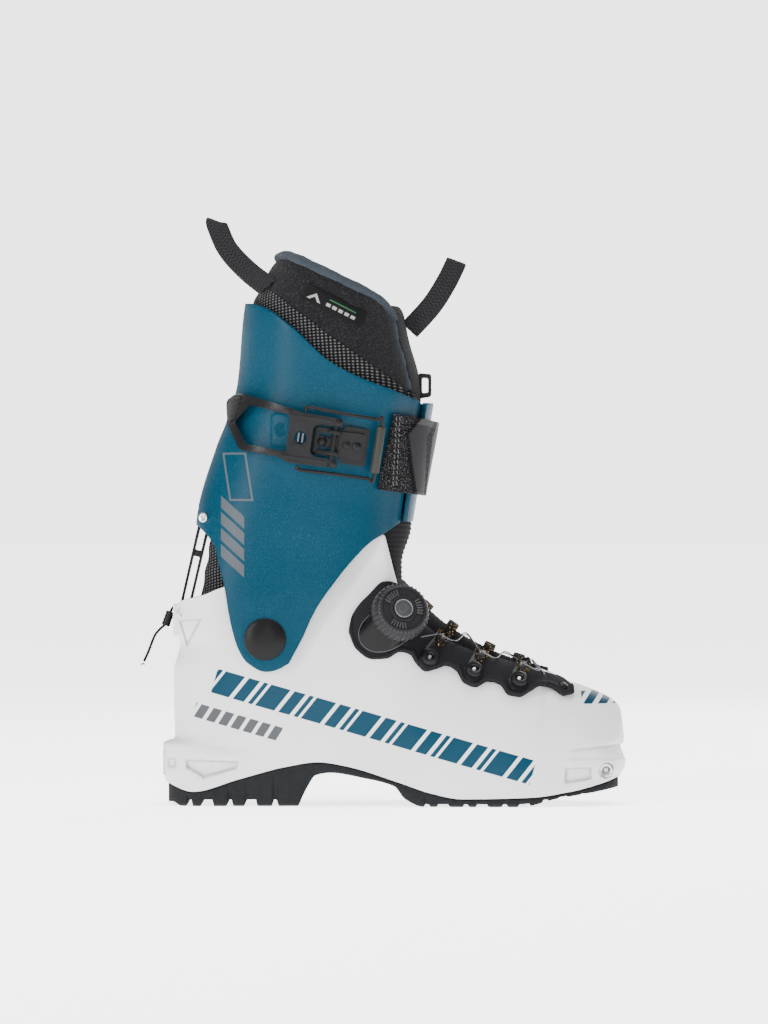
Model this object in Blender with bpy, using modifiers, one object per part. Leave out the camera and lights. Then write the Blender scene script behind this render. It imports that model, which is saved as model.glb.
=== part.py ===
"""Right ski-touring boot: hinged cuff, walk-mode lock bar, cuff buckle with strap, lace dial and liner.

Metres, +Z up, +X to the toe, -Y the outer (lateral) side. The origin is on the ground straight under
the ankle axis, on the boot's centre plane.
"""
import math

import bmesh
import bpy
from mathutils import Matrix, Vector

MM = 0.001
GAP = 0.4 * MM

# Driving dimensions
ANKLE = Vector((0, 0, 103.6)) * MM
SHELL_WALL = 3.0 * MM
CUFF_WALL = 3.0 * MM
HEEL_X = -63 * MM
TOE_X = 221 * MM
CUFF_SCREW = Vector((-37.9, 0, 178.8)) * MM
LOCK_SCREW = Vector((-52.8, 0, 119.3)) * MM
DIAL_CENTRE = Vector((79, 0, 115.5)) * MM
DIAL_AXIS = Vector((0.27, -0.91, 0.31)).normalized()
LEVER_PIN = Vector((42.2, 0, 224.7)) * MM
LEVER_AXIS = Vector((0.151, 0, 0.989)).normalized()
TOE_INSERT = Vector((211.1, 0, 22.2)) * MM
INSERT_SPACING = 64 * MM

WHITE = (0.70, 0.70, 0.71)
BLUE = (0.010, 0.105, 0.195)
BLACK = (0.020, 0.020, 0.022)
GRAPHITE = (0.055, 0.055, 0.060)
STEEL = (0.55, 0.55, 0.56)
COLLAR = (0.10, 0.12, 0.15)


# ---------------------------------------------------------------- curves and numbers
def mix(a, b, t):
    return a + (b - a) * t


def smoothstep(low, high, value):
    t = min(1.0, max(0.0, (value - low) / (high - low)))
    return t * t * (3 - 2 * t)


def through(points):
    """A smooth function of one number through points (number, value) in millimetres, flat beyond its ends."""
    xs = [p[0] * MM for p in points]
    ys = [p[1] * MM for p in points]
    secants = [(ys[i + 1] - ys[i]) / (xs[i + 1] - xs[i]) for i in range(len(xs) - 1)]
    slopes = [secants[0]]
    for before, after in zip(secants, secants[1:]):
        slopes.append(0.0 if before * after <= 0 else 2 * before * after / (before + after))
    slopes.append(secants[-1])

    def value(x):
        if x <= xs[0]:
            return ys[0]
        if x >= xs[-1]:
            return ys[-1]
        i = max(k for k in range(len(xs) - 1) if xs[k] <= x)
        span = xs[i + 1] - xs[i]
        t = (x - xs[i]) / span
        rise = (1 + 2 * t) * (1 - t) ** 2 * ys[i] + t * t * (3 - 2 * t) * ys[i + 1]
        lean = t * (1 - t) ** 2 * slopes[i] - t * t * (1 - t) * slopes[i + 1]
        return rise + span * lean

    return value


def smooth_path(points, steps):
    """Points along a Catmull-Rom curve through the given ones."""
    points = [Vector(p) for p in points]
    path = []
    for i in range(len(points) - 1):
        p0, p1 = points[max(i - 1, 0)], points[i]
        p2, p3 = points[i + 1], points[min(i + 2, len(points) - 1)]
        for k in range(steps):
            t = k / steps
            a = 2 * p1 + (p2 - p0) * t
            b = (2 * p0 - 5 * p1 + 4 * p2 - p3) * t * t
            c = (3 * p1 - p0 - 3 * p2 + p3) * t ** 3
            path.append((a + b + c) / 2)
    return path + [points[-1]]


# ---------------------------------------------------------------- scene helpers
def start_scene():
    for old in list(bpy.data.objects):
        bpy.data.objects.remove(old, do_unlink=True)
    parts = bpy.data.collections.new("ski_touring_boot")
    cutters = bpy.data.collections.new("cutters")
    bpy.context.scene.collection.children.link(parts)
    bpy.context.scene.collection.children.link(cutters)
    return parts, cutters


PARTS, CUTTERS = start_scene()


def material(name, colour, roughness, metallic=0.0):
    made = bpy.data.materials.get(name) or bpy.data.materials.new(name)
    made.use_nodes = True
    shader = made.node_tree.nodes["Principled BSDF"]
    shader.inputs["Base Color"].default_value = (*colour, 1)
    shader.inputs["Roughness"].default_value = roughness
    shader.inputs["Metallic"].default_value = metallic
    return made


def finishes():
    return {
        "shell_plastic": material("shell_plastic", WHITE, 0.35),
        "cuff_plastic": material("cuff_plastic", BLUE, 0.35),
        "black_plastic": material("black_plastic", BLACK, 0.45),
        "sole_rubber": material("sole_rubber", GRAPHITE, 0.8),
        "steel": material("steel", STEEL, 0.3, 1.0),
        "black_metal": material("black_metal", BLACK, 0.35, 0.6),
        "felt": material("felt", BLACK, 0.95),
        "collar_fabric": material("collar_fabric", COLLAR, 0.9),
        "webbing": material("webbing", BLACK, 0.85),
        "foam": material("foam", GRAPHITE, 0.9),
    }


FINISH = finishes()


def joint_empty(name, place):
    empty = bpy.data.objects.new(name, None)
    empty.location = place
    PARTS.objects.link(empty)
    return empty


def add(name, bm, finish, joint=None):
    """One named part from a closed bmesh in world coordinates, hung on its joint's empty."""
    bmesh.ops.remove_doubles(bm, verts=bm.verts, dist=0.00001)
    bmesh.ops.recalc_face_normals(bm, faces=bm.faces)
    if bm.calc_volume(signed=True) < 0:
        bmesh.ops.reverse_faces(bm, faces=bm.faces)
    mesh = bpy.data.meshes.new(name)
    bm.to_mesh(mesh)
    bm.free()
    mesh.shade_smooth()
    mesh.set_sharp_from_angle(angle=math.radians(35))
    part = bpy.data.objects.new(name, mesh)
    part.data.materials.append(FINISH[finish])
    PARTS.objects.link(part)
    if joint:
        part.parent = joint
        part.location = -joint.location
    return part


def cut(part, bm, operation="DIFFERENCE"):
    """Cuts a closed bmesh, in world coordinates, out of a part or joins it on, and applies it."""
    bmesh.ops.recalc_face_normals(bm, faces=bm.faces)
    mesh = bpy.data.meshes.new("cutter")
    bm.to_mesh(mesh)
    bm.free()
    cutter = bpy.data.objects.new("cutter", mesh)
    cutter.hide_render = True
    cutter.display_type = "WIRE"
    CUTTERS.objects.link(cutter)
    boolean = part.modifiers.new("cut", "BOOLEAN")
    boolean.operation = operation
    boolean.object = cutter
    bpy.context.view_layer.update()
    evaluated = part.evaluated_get(bpy.context.evaluated_depsgraph_get())
    part.data = bpy.data.meshes.new_from_object(evaluated)
    part.modifiers.clear()
    bpy.data.objects.remove(cutter)


# ---------------------------------------------------------------- solids
def box(centre, size, turn=None):
    bm = bmesh.new()
    bmesh.ops.create_cube(bm, size=1)
    place = Matrix.Translation(Vector(centre)) @ (turn or Matrix.Identity(4))
    bmesh.ops.transform(bm, matrix=place @ Matrix.Diagonal((*size, 1)), verts=bm.verts)
    return bm


def rod(start, end, radius, sides=20):
    """A cylinder between two points."""
    start, end = Vector(start), Vector(end)
    axis = end - start
    bm = bmesh.new()
    bmesh.ops.create_cone(
        bm, cap_ends=True, segments=sides, radius1=radius, radius2=radius, depth=axis.length,
    )
    turn = Vector((0, 0, 1)).rotation_difference(axis).to_matrix().to_4x4()
    bmesh.ops.transform(bm, matrix=Matrix.Translation((start + end) / 2) @ turn, verts=bm.verts)
    return bm


def turned(name, profile, base, axis, finish, joint=None, steps=28):
    """A turned piece: profile points (radius, height) in millimetres, from its top down its outer side."""
    mesh = bpy.data.meshes.new(name)
    mesh.from_pydata(
        [(r * MM, 0, h * MM) for r, h in profile], [(i, i + 1) for i in range(len(profile) - 1)], []
    )
    part = bpy.data.objects.new(name, mesh)
    PARTS.objects.link(part)
    screw = part.modifiers.new("turn", "SCREW")
    screw.steps = steps
    screw.render_steps = steps
    screw.use_merge_vertices = True
    screw.merge_threshold = 0.00001
    bpy.context.view_layer.update()
    evaluated = part.evaluated_get(bpy.context.evaluated_depsgraph_get())
    bm = bmesh.new()
    bm.from_mesh(evaluated.data)
    bpy.data.objects.remove(part)
    turn = Vector((0, 0, 1)).rotation_difference(Vector(axis)).to_matrix().to_4x4()
    bmesh.ops.transform(bm, matrix=Matrix.Translation(Vector(base)) @ turn, verts=bm.verts)
    return add(name, bm, finish, joint)


def tube(name, points, radius, finish, joint=None):
    """A wire or cord along a path: a bevelled POLY curve, made a mesh with its caps welded."""
    curve = bpy.data.curves.new(name, "CURVE")
    curve.dimensions = "3D"
    curve.bevel_depth = radius
    curve.bevel_resolution = 2
    curve.use_fill_caps = True
    spline = curve.splines.new("POLY")
    spline.points.add(len(points) - 1)
    for knot, point in zip(spline.points, points):
        knot.co = (*point, 1)
    return add(name, mesh_of_curve(curve), finish, joint)


def mesh_of_curve(curve):
    holder = bpy.data.objects.new("curve", curve)
    PARTS.objects.link(holder)
    bpy.context.view_layer.update()
    evaluated = holder.evaluated_get(bpy.context.evaluated_depsgraph_get())
    mesh = bpy.data.meshes.new_from_object(evaluated)
    bm = bmesh.new()
    bm.from_mesh(mesh)
    bmesh.ops.remove_doubles(bm, verts=bm.verts, dist=0.00001)
    bpy.data.objects.remove(holder)
    return bm


def plate(outline, thickness=1.0, holes=()):
    """A flat outline with holes, points (x, z) in metres, as a slab in X and Z, centred on Y = 0."""
    curve = bpy.data.curves.new("plate", "CURVE")
    curve.dimensions = "2D"
    curve.fill_mode = "BOTH"
    curve.extrude = thickness / 2
    for loop in (outline, *holes):
        spline = curve.splines.new("POLY")
        spline.points.add(len(loop) - 1)
        for knot, (x, z) in zip(spline.points, loop):
            knot.co = (x, z, 0, 1)
        spline.use_cyclic_u = True
    bm = mesh_of_curve(curve)
    bmesh.ops.transform(bm, matrix=Matrix.Rotation(math.pi / 2, 4, "X"), verts=bm.verts)
    return bm


def stitch(bm, rings, cap_first=False, cap_last=False):
    """Quads between closed rings of equally many points, and across the first or last of them."""
    rows = [[bm.verts.new(p) for p in ring] for ring in rings]
    count = len(rows[0])
    for low, high in zip(rows, rows[1:]):
        for k in range(count):
            m = (k + 1) % count
            bm.faces.new((low[k], low[m], high[m], high[k]))
    for wanted, row in ((cap_first, rows[0]), (cap_last, rows[-1])):
        if wanted:
            bm.faces.new((row[0], row[1], row[-1]))
            for k in range(1, count // 2 - 1):
                bm.faces.new((row[k], row[k + 1], row[-k - 1], row[-k]))
            bm.faces.new((row[count // 2 - 1], row[count // 2], row[count // 2 + 1]))


def skin(rings, cap_first=False, cap_last=False):
    bm = bmesh.new()
    stitch(bm, rings, cap_first, cap_last)
    return bm


def patch_solid(outer, inner):
    """A closed slab between two equal grids of points."""
    bm = bmesh.new()
    tops = [[bm.verts.new(p) for p in row] for row in outer]
    unders = [[bm.verts.new(p) for p in row] for row in inner]
    rows, columns = len(outer), len(outer[0])
    for i in range(rows - 1):
        for j in range(columns - 1):
            for grid in (tops, unders):
                bm.faces.new((grid[i][j], grid[i + 1][j], grid[i + 1][j + 1], grid[i][j + 1]))
    for i in range(rows - 1):
        for j in (0, columns - 1):
            bm.faces.new((tops[i][j], tops[i + 1][j], unders[i + 1][j], unders[i][j]))
    for j in range(columns - 1):
        for i in (0, rows - 1):
            bm.faces.new((tops[i][j], tops[i][j + 1], unders[i][j + 1], unders[i][j]))
    return bm


# ---------------------------------------------------------------- lower shell surface
SOLE_LINE = through([
    (-63, 14.9), (-44.9, 9.1), (-16.9, 16.6), (14.3, 24.7), (32.8, 27.3), (50.5, 24.7),
    (83.4, 14.7), (102.6, 8.4), (121.6, 5), (164.7, 5.9), (188.7, 9.3), (207.8, 14.1), (221.2, 18.4),
])
SHELL_TOP = through([
    (-58.3, 122.2), (-53.1, 126.8), (-40.7, 129.9), (-26.2, 135.6), (0, 142), (40, 158), (64, 168),
    (73, 168.6), (77, 155), (82, 137), (90, 120), (100, 109), (116, 99.5), (132, 93.5), (158, 86),
    (172, 84.4), (189, 76.6), (197.2, 74.1), (209.5, 69), (217.4, 64.5), (221.2, 59), (223, 50),
])
BASE_WIDTH = through([
    (-63, 37), (-20, 34), (20, 33), (60, 38), (120, 47), (150, 47.5), (185, 41), (205, 36), (222, 32),
])
TOP_WIDTH = through([
    (-58, 30), (-40, 34), (0, 38.5), (45, 35.5), (74, 30), (86, 25), (100, 20.5), (140, 16.5),
    (160, 13.5), (168, 9), (173, 0),
])
BULGE = through([(-60, 0), (-30, 2), (0, 6.5), (30, 5), (60, 2), (100, 2.5), (160, 1), (200, 0)])
HEEL_LINE = through([
    (14.9, -63), (21.6, -64.6), (38, -64.6), (42.5, -57.2), (64, -57.8), (85, -57.6), (100, -54.4),
    (111, -58.6), (122, -58.3),
])
TOE_LINE = through([(18.4, 221.2), (24, 223.6), (31, 224.4), (36, 221.2), (42, 222.6), (51, 223.3),
                    (59, 221.4)])
SHELL_ROWS = 15
SHELL_COLUMNS = 28


def shell_half_width(x, z):
    """Half the shell's width at a place on its side."""
    v = min(1.0, max(0.0, (z - SOLE_LINE(x)) / (SHELL_TOP(x) - SOLE_LINE(x))))
    arch = math.sqrt(max(0.0, 1 - v ** 2.6))
    fade = mix(1 - v, arch, smoothstep(20 * MM, 85 * MM, x))
    width = mix(TOP_WIDTH(x), BASE_WIDTH(x), fade) + BULGE(x) * math.sin(math.pi * min(1, v * 1.15)) ** 0.8
    return width * end_rounding(x, z)


def end_rounding(x, z):
    from_heel = min(1.0, max(0.0, (x - HEEL_LINE(z)) / (30 * MM)))
    toe_length = mix(24 * MM, 40 * MM, smoothstep(34 * MM, 56 * MM, z))
    from_toe = min(1.0, max(0.0, (TOE_LINE(z) - x) / toe_length))
    return math.sqrt(max(0.0, 1 - (1 - from_heel) ** 2.6)) * math.sqrt(max(0.0, 1 - (1 - from_toe) ** 2.3))


def shell_column(k, v):
    """X, Z and half width of the shell at a column from heel to toe and a share of its height."""
    share = (1 - math.cos(math.pi * k / SHELL_COLUMNS)) / 2
    heel_z = mix(SOLE_LINE(HEEL_X), SHELL_TOP(-58 * MM), v)
    toe_z = mix(SOLE_LINE(TOE_X), SHELL_TOP(TOE_X), v)
    x = mix(HEEL_LINE(heel_z), TOE_LINE(toe_z), share)
    z = mix(SOLE_LINE(x), SHELL_TOP(x), v)
    return x, z, shell_half_width(x, z) if 0 < k < SHELL_COLUMNS else 0.0


def ring_of(half):
    """A closed ring from half of it, places (x, half width, z) from the heel to the toe."""
    outer = [Vector((x, -y, z)) for x, y, z in half]
    inner = [Vector((x, y, z)) for x, y, z in half[-2:0:-1]]
    return outer + inner


def shell_ring(v):
    """One ring of the shell, from the heel along the outer side to the toe and back."""
    columns = [shell_column(k, v) for k in range(SHELL_COLUMNS + 1)]
    return ring_of([(x, width, z) for x, z, width in columns])


def shell_place(x, z, lift=0.0, side=-1):
    """A point on the shell's side and the direction out of the surface there."""
    step = MM
    slope_x = (shell_half_width(x + step, z) - shell_half_width(x - step, z)) / (2 * step)
    slope_z = (shell_half_width(x, z + step) - shell_half_width(x, z - step)) / (2 * step)
    out = Vector((-slope_x, side, -slope_z)).normalized()
    return Vector((x, side * shell_half_width(x, z), z)) + out * lift, out


# ---------------------------------------------------------------- cuff surface
CUFF_REAR = through([
    (80, -50), (130, -48), (173, -44.3), (182, -43.3), (222.8, -31.4), (239, -25), (262, -18.3), (312,
                                        -13.4),
    (322, -8), (332, -3.5), (345, 3),
])
CUFF_FRONT = through([
    (80, 84), (130, 86), (165, 90), (192, 94.2), (238.4, 102.6), (251.6, 104.4), (265, 103.5), (290, 97),
    (312, 93), (345, 88),
])
CUFF_WIDTH = through([
    (80, 46.5), (125, 46.5), (160, 45), (190, 44.5), (230, 47.5), (265, 51), (312, 52), (345, 52),
])
CUFF_LOW = through([
    (-45, 175), (-42.2, 173.2), (-31.4, 160.7), (-29.6, 153.4), (-25.4, 136), (-21.6, 114), (-16.8, 97.8),
    (-11, 89), (0.4, 83.4), (12.8, 87.2), (19.6, 95.9), (24.4, 107.3), (31.1, 121.6), (41.6, 136.9),
    (53.1, 151.3), (65.5, 163.8), (73.9, 169), (84.1, 176.2),
])
CUFF_TOP = through([
    (-16, 311), (-13.4, 312), (-2.8, 309.1), (16.5, 295.9), (39.1, 275.6), (59.5, 264.8), (78.7, 257.6),
    (98, 250),
])


def squareness(z):
    return mix(3.0, 2.35, smoothstep(120 * MM, 210 * MM, z))


def cuff_half_width(x, z, inset=0.0):
    centre = (CUFF_REAR(z) + CUFF_FRONT(z)) / 2
    reach = (CUFF_FRONT(z) - CUFF_REAR(z)) / 2 - inset
    power = squareness(z)
    left = 1 - min(1.0, abs(x - centre) / reach) ** power
    return (CUFF_WIDTH(z) - inset) * left ** (1 / power)


def cuff_point(turn, z, inset=0.0):
    """A point of the cuff's surface: turn 0 is the heel side, +pi the front by way of the outer side."""
    centre = (CUFF_REAR(z) + CUFF_FRONT(z)) / 2
    reach = (CUFF_FRONT(z) - CUFF_REAR(z)) / 2 - inset
    power = 2 / squareness(z)
    c, s = math.cos(turn), math.sin(turn)
    x = centre - reach * math.copysign(abs(c) ** power, c)
    y = -(CUFF_WIDTH(z) - inset) * math.copysign(abs(s) ** power, s)
    return Vector((x, y, z))


def edge_height(turn, edge, start, inset=0.0):
    """Where the surface's line at this turn meets an edge that is given as a height for each X."""
    low, high = start
    for _ in range(24):
        middle = (low + high) / 2
        x = cuff_point(turn, middle, inset).x
        if middle < edge(x):
            low = middle
        else:
            high = middle
    return (low + high) / 2


def wrap(turns, low, high, inset, wall, rows):
    """A curved slab on the cuff's surface between two edges, given as heights for each X."""
    outer, inner = [], []
    for turn in turns:
        depth = inset(turn) if callable(inset) else inset
        bottom = edge_height(turn, low, (80 * MM, 345 * MM), depth)
        top = edge_height(turn, high, (80 * MM, 345 * MM), depth)
        heights = [mix(bottom, top, k / rows) for k in range(rows + 1)]
        outer.append([cuff_point(turn, z, depth) for z in heights])
        inner.append([cuff_point(turn, z, depth + wall) for z in heights])
    return patch_solid(outer, inner)


def spread(start, end, count):
    return [mix(start, end, k / count) for k in range(count + 1)]


def on_cuff(bm, near, far):
    """Bends a slab made by plate() onto the cuff's outer side, between two depths over its surface."""
    xs = [vert.co.x for vert in bm.verts]
    for share in spread(0, 1, math.ceil((max(xs) - min(xs)) / (9 * MM)))[1:-1]:
        place = Vector((mix(min(xs), max(xs), share) + 0.05 * MM, 0, 0))
        everything = bm.verts[:] + bm.edges[:] + bm.faces[:]
        bmesh.ops.bisect_plane(bm, geom=everything, dist=0.000001, plane_co=place, plane_no=(1, 0, 0))
    for vert in bm.verts:
        depth = near if vert.co.y > 0 else far
        vert.co.y = -(cuff_half_width(vert.co.x, vert.co.z) + depth)
    return bm


# ---------------------------------------------------------------- lower shell and sole
def shell_inner_ring(v):
    """The ring inside shell_ring(v): one wall thickness in, level with the rim where the shell is open."""
    half = []
    for k in range(SHELL_COLUMNS + 1):
        outer_x, outer_z, width = shell_column(k, v)
        share = (outer_x - HEEL_LINE(outer_z)) / (TOE_LINE(outer_z) - HEEL_LINE(outer_z))
        x = outer_x + SHELL_WALL * (1 - 2 * share)
        roof = SHELL_WALL * smoothstep(158 * MM, 174 * MM, outer_x)
        z = mix(SOLE_LINE(outer_x) + SHELL_WALL, SHELL_TOP(outer_x) - roof, v)
        half.append((x, max(0.0, width - SHELL_WALL), z))
    return ring_of(half)


def lower_shell():
    """The white shell: outer wall, inner wall and floor, open at the ankle and over the throat."""
    steps = [k / SHELL_ROWS for k in range(SHELL_ROWS + 1)]
    outer = [shell_ring(v) for v in steps]
    inner = [shell_inner_ring(v) for v in steps]
    bm = bmesh.new()
    for rings in (outer, inner):
        stitch(bm, rings, cap_first=True)
    count = len(outer[-1])
    top_outer = [bm.verts.new(p) for p in outer[-1]]
    top_inner = [bm.verts.new(p) for p in inner[-1]]
    for k in range(count):
        m = (k + 1) % count
        if max(abs(outer[-1][k].y), abs(outer[-1][m].y)) > 0.01 * MM or outer[-1][k].x < 0:
            bm.faces.new((top_outer[k], top_outer[m], top_inner[m], top_inner[k]))
    loose = [v for v in bm.verts if not v.link_faces]
    bmesh.ops.delete(bm, geom=loose, context="VERTS")
    part = add("lower_shell", bm, "shell_plastic")
    ear_height = 19 * MM
    ears = box((-52.3 * MM, 0, 124.5 * MM - ear_height / 2), (11 * MM, 33 * MM, ear_height))
    cut(part, ears, "UNION")
    cut(part, box((-62 * MM, 0, 115 * MM), (40 * MM, 15 * MM, 56 * MM)))
    for side in (-1, 1):
        cut(part, rod((0, side * 20 * MM, ANKLE.z), (0, side * 60 * MM, ANKLE.z), 5 * MM))
        screw = LOCK_SCREW + Vector((0, side * 9, 0)) * MM
        cut(part, rod(screw, screw + Vector((0, side * 30, 0)) * MM, 2.8 * MM))
        toe_hole = TOE_INSERT + Vector((0, side * (INSERT_SPACING / 2 - 7 * MM), 0))
        cut(part, rod(toe_hole, toe_hole + Vector((0, side * 20, 0)) * MM, 4.6 * MM))
    cut(part, box((-63 * MM, 0, 27 * MM), (9 * MM, 30 * MM, 16 * MM)))
    return part


def outsole():
    tread = through([
        (-57, 3.5), (-52, 0), (20, 0), (23, 6), (26.7, 13), (31, 19), (40.1, 20.6), (60.9, 17.4),
        (79.5, 13.0), (85.3, 3.6), (92, 0), (172, 0), (185, 5.5), (203, 10), (220, 14.5),
    ])
    rings = []
    inset = 1.2 * MM
    for drop in (0.0, 0.5, 1.0):
        half = []
        for k in range(31):
            share = (1 - math.cos(math.pi * k / 30)) / 2
            x = mix(-61 * MM, 219.6 * MM, share)
            top = SOLE_LINE(x) - 2 * GAP
            width = (BASE_WIDTH(x) - inset) * end_rounding(x, 16 * MM) if 0 < k < 30 else 0.0
            half.append((x, width, mix(top, min(tread(x), top - 2 * MM), drop)))
        rings.append(ring_of(half))
    part = add("outsole", skin(rings, cap_first=True, cap_last=True), "sole_rubber")
    for place, lean in ((-36, 8), (-9, 6), (108, -6), (126, -6), (144, -8), (162, -10)):
        groove = Matrix.Rotation(math.radians(lean * 2), 4, "Y")
        cut(part, box((place * MM, 0, -1.5 * MM), (7 * MM, 120 * MM, 9 * MM), groove))
    return part


def heel_insert():
    bm = box((-61.6 * MM, 0, 27 * MM), (5.0 * MM, 28.6 * MM, 14.6 * MM))
    part = add("heel_insert", bm, "steel")
    for side in (-1, 1):
        cut(part, box((-63 * MM, side * 6 * MM, 22 * MM), (10 * MM, 4 * MM, 14 * MM)))
    return part


def toe_inserts():
    for side, word in ((-1, "lateral"), (1, "medial")):
        back = Vector((TOE_INSERT.x, side * (INSERT_SPACING / 2 - 6 * MM), TOE_INSERT.z))
        profile = [(0, 3), (1.2, 3), (2.6, 6), (4.2, 6), (4.2, 0), (0, 0)]
        turned(f"toe_insert_{word}", profile, back, (0, side, 0), "steel")


def foot_beds():
    """The boot board on the shell's floor, and the footbed that the foot stands on."""
    for name, rise, thick, inset, heel, toe, finish in (
        ("boot_board", 4.4, 4.0, 8.0, -51, 204, "foam"), ("footbed", 20.6, 3.0, 17.5, -36, 189, "felt"),
    ):
        rings = []
        for lift in (rise, rise + thick):
            half = []
            for k in range(19):
                share = (1 - math.cos(math.pi * k / 18)) / 2
                x = mix(heel * MM, toe * MM, share)
                width = (BASE_WIDTH(x) - inset * MM) * round_ends(share) if 0 < k < 18 else 0.0
                half.append((x, width, SOLE_LINE(x) + lift * MM))
            rings.append(ring_of(half))
        add(name, skin(rings, cap_first=True, cap_last=True), finish)


# ---------------------------------------------------------------- lace closure on the instep
CREST = through([(80, 140), (85.9, 136), (100.3, 121), (124.9, 103.5), (148.4, 92.2), (168, 86.5),
                 (178, 84)])
SCALLOP = through([
    (51.4, 107.8), (55.8, 97.8), (66.9, 91), (75.5, 91.6), (82.8, 95.3), (89.1, 93.5), (92.8, 87.9),
    (99, 83), (105.2, 84.3), (111.4, 86.1), (117.6, 83), (122.5, 75.6), (129.9, 73.1), (137.2, 76.2),
    (144.7, 74.3), (149.7, 68.2), (157.1, 66.9), (163.3, 70), (169.4, 73.1), (176.9, 71.3),
    (184.3, 66.9), (191.1, 68.2),
])
PANEL_TOP = through([
    (51.4, 108.6), (53.3, 117.6), (64.4, 131.2), (74, 139), (80, 137), (90, 119), (100, 107.6),
    (116, 98), (132, 92), (158, 84.6), (172, 80.5), (184, 76), (191.1, 70.5),
])
EYELETS = ((100.3, 90.4), (128.1, 81.8), (155.8, 75.6))
LACE_LOOPS = ((107, 100.9), (132.4, 90.4), (158.3, 83.0))
CREST_GUIDES = (99, 115.1, 138.4, 157)
GUIDE_RISE = 3.0 * MM
PANEL_WALL = 1.5 * MM
PANEL_LIFT = 1.9 * MM


def lace_panel(word, side):
    columns = spread(51.6 * MM, 190.8 * MM, 38)
    outer, inner = [], []
    for x in columns:
        heights = spread(SCALLOP(x), PANEL_TOP(x), 5)
        outer.append([shell_place(x, z, PANEL_LIFT + PANEL_WALL, side)[0] for z in heights])
        inner.append([shell_place(x, z, PANEL_LIFT, side)[0] for z in heights])
    return add(f"lace_panel_{word}", patch_solid(outer, inner), "black_plastic")


def instep_gaiter():
    """The ribbed textile bridge over the throat of the shell."""
    outer, inner = [], []
    for x in spread(84 * MM, 160 * MM, 14):
        edge = shell_half_width(x, SHELL_TOP(x)) - SHELL_WALL - 1.6 * MM
        row_outer, row_inner = [], []
        for angle in spread(-math.pi / 2, math.pi / 2, 8):
            y = edge * math.sin(angle)
            base = SHELL_TOP(x) - 5.5 * MM
            height = mix(base, CREST(x), max(0.0, math.cos(angle)) ** 0.9)
            row_outer.append(Vector((x, y, height)))
            row_inner.append(Vector((x, y * 0.9, height - 2.2 * MM)))
        outer.append(row_outer)
        inner.append(row_inner)
    return add("instep_gaiter", patch_solid(outer, inner), "felt")


def gaiter_neck():
    """The soft neck of the gaiter, which folds as the cuff flexes."""
    outer, inner = [], []
    for z in spread(141 * MM, 172 * MM, 6):
        front = mix(84.5 * MM, 87.0 * MM, (z - 141 * MM) / (31 * MM))
        row_outer, row_inner = [], []
        for angle in spread(-1.15, 1.15, 10):
            row_outer.append(Vector((front - 24 * MM + 24 * MM * math.cos(angle),
                                     27 * MM * math.sin(angle), z)))
            row_inner.append(Vector((front - 24 * MM + 22 * MM * math.cos(angle),
                                     25 * MM * math.sin(angle), z)))
        outer.append(row_outer)
        inner.append(row_inner)
    return add("gaiter_neck", patch_solid(outer, inner), "felt")


def eyelets():
    for side, word in ((-1, "lateral"), (1, "medial")):
        for number, (x, z) in enumerate(EYELETS, start=1):
            place, out = shell_place(x * MM, z * MM, PANEL_LIFT + PANEL_WALL + GAP, side)
            profile = [(1.4, 2.6), (1.4, 4.0), (2.4, 4.6), (4.4, 4.0), (5.5, 2.4), (5.5, 0.3), (0, 0.3),
                       (0, 2.6)]
            profile = [(0, 2.6)] + profile[:-1]
            turned(f"lace_eyelet_{word}_{number}", profile, place, out, "black_metal", steps=20)


def lace_guides():
    """Fabric guides that hold the steel lace over the crest of the instep."""
    for number, x in enumerate(CREST_GUIDES, start=1):
        slope = math.atan2(CREST((x + 1) * MM) - CREST((x - 1) * MM), 2 * MM)
        turn = Matrix.Rotation(-slope, 4, "Y")
        place = Vector((x * MM, 0, CREST(x * MM) + GUIDE_RISE))
        add(f"lace_guide_{number}", box(place, (7 * MM, 18 * MM, 1.2 * MM), turn), "webbing")


def lace():
    """The steel lace: from the dial through each eyelet in turn, zigzag over the instep, to the toe rivet."""
    def at(x, z, lift, side):
        return shell_place(x * MM, z * MM, lift * MM, side)[0]

    def crest(x, rise):
        return Vector((x * MM, 0, CREST(x * MM) + rise * MM))

    stops = [at(97, 99, 8.0, -1)]
    for (x, z), (loop_x, loop_z), guide in zip(EYELETS, LACE_LOOPS, CREST_GUIDES[1:]):
        stops += [at(x - 1, z + 1, 10, -1), at(x + 2.5, z - 2, 9.9, -1), at(x + 4.5, z + 3, 8.8, -1)]
        stops += [at(loop_x + 1, loop_z + 2, 6.4, -1), crest(guide - 2, 6.2)]
        stops += [at(loop_x + 6, loop_z - 1, 7.4, 1), at(x + 9, z + 0.5, 7.8, 1), crest(guide + 6, 6.8)]
    stops += [at(168, 78, 5.6, -1), at(172, 77, 5.0, -1)]
    return tube("steel_lace", smooth_path(stops, 4), 0.45 * MM, "steel")


# ---------------------------------------------------------------- lace dial
def dial_place(height):
    surface, _ = shell_place(DIAL_CENTRE.x, DIAL_CENTRE.z)
    return surface + DIAL_AXIS * height * MM


DIAL_BASE_TOP = 10.5
DIAL_TRAVEL = 3 * MM
DIAL_FOOT = 13.5 * MM
HOUSING_RIM_LIFT = 2.5 * MM
HOUSING_LIFT = 1.2 * MM


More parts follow.
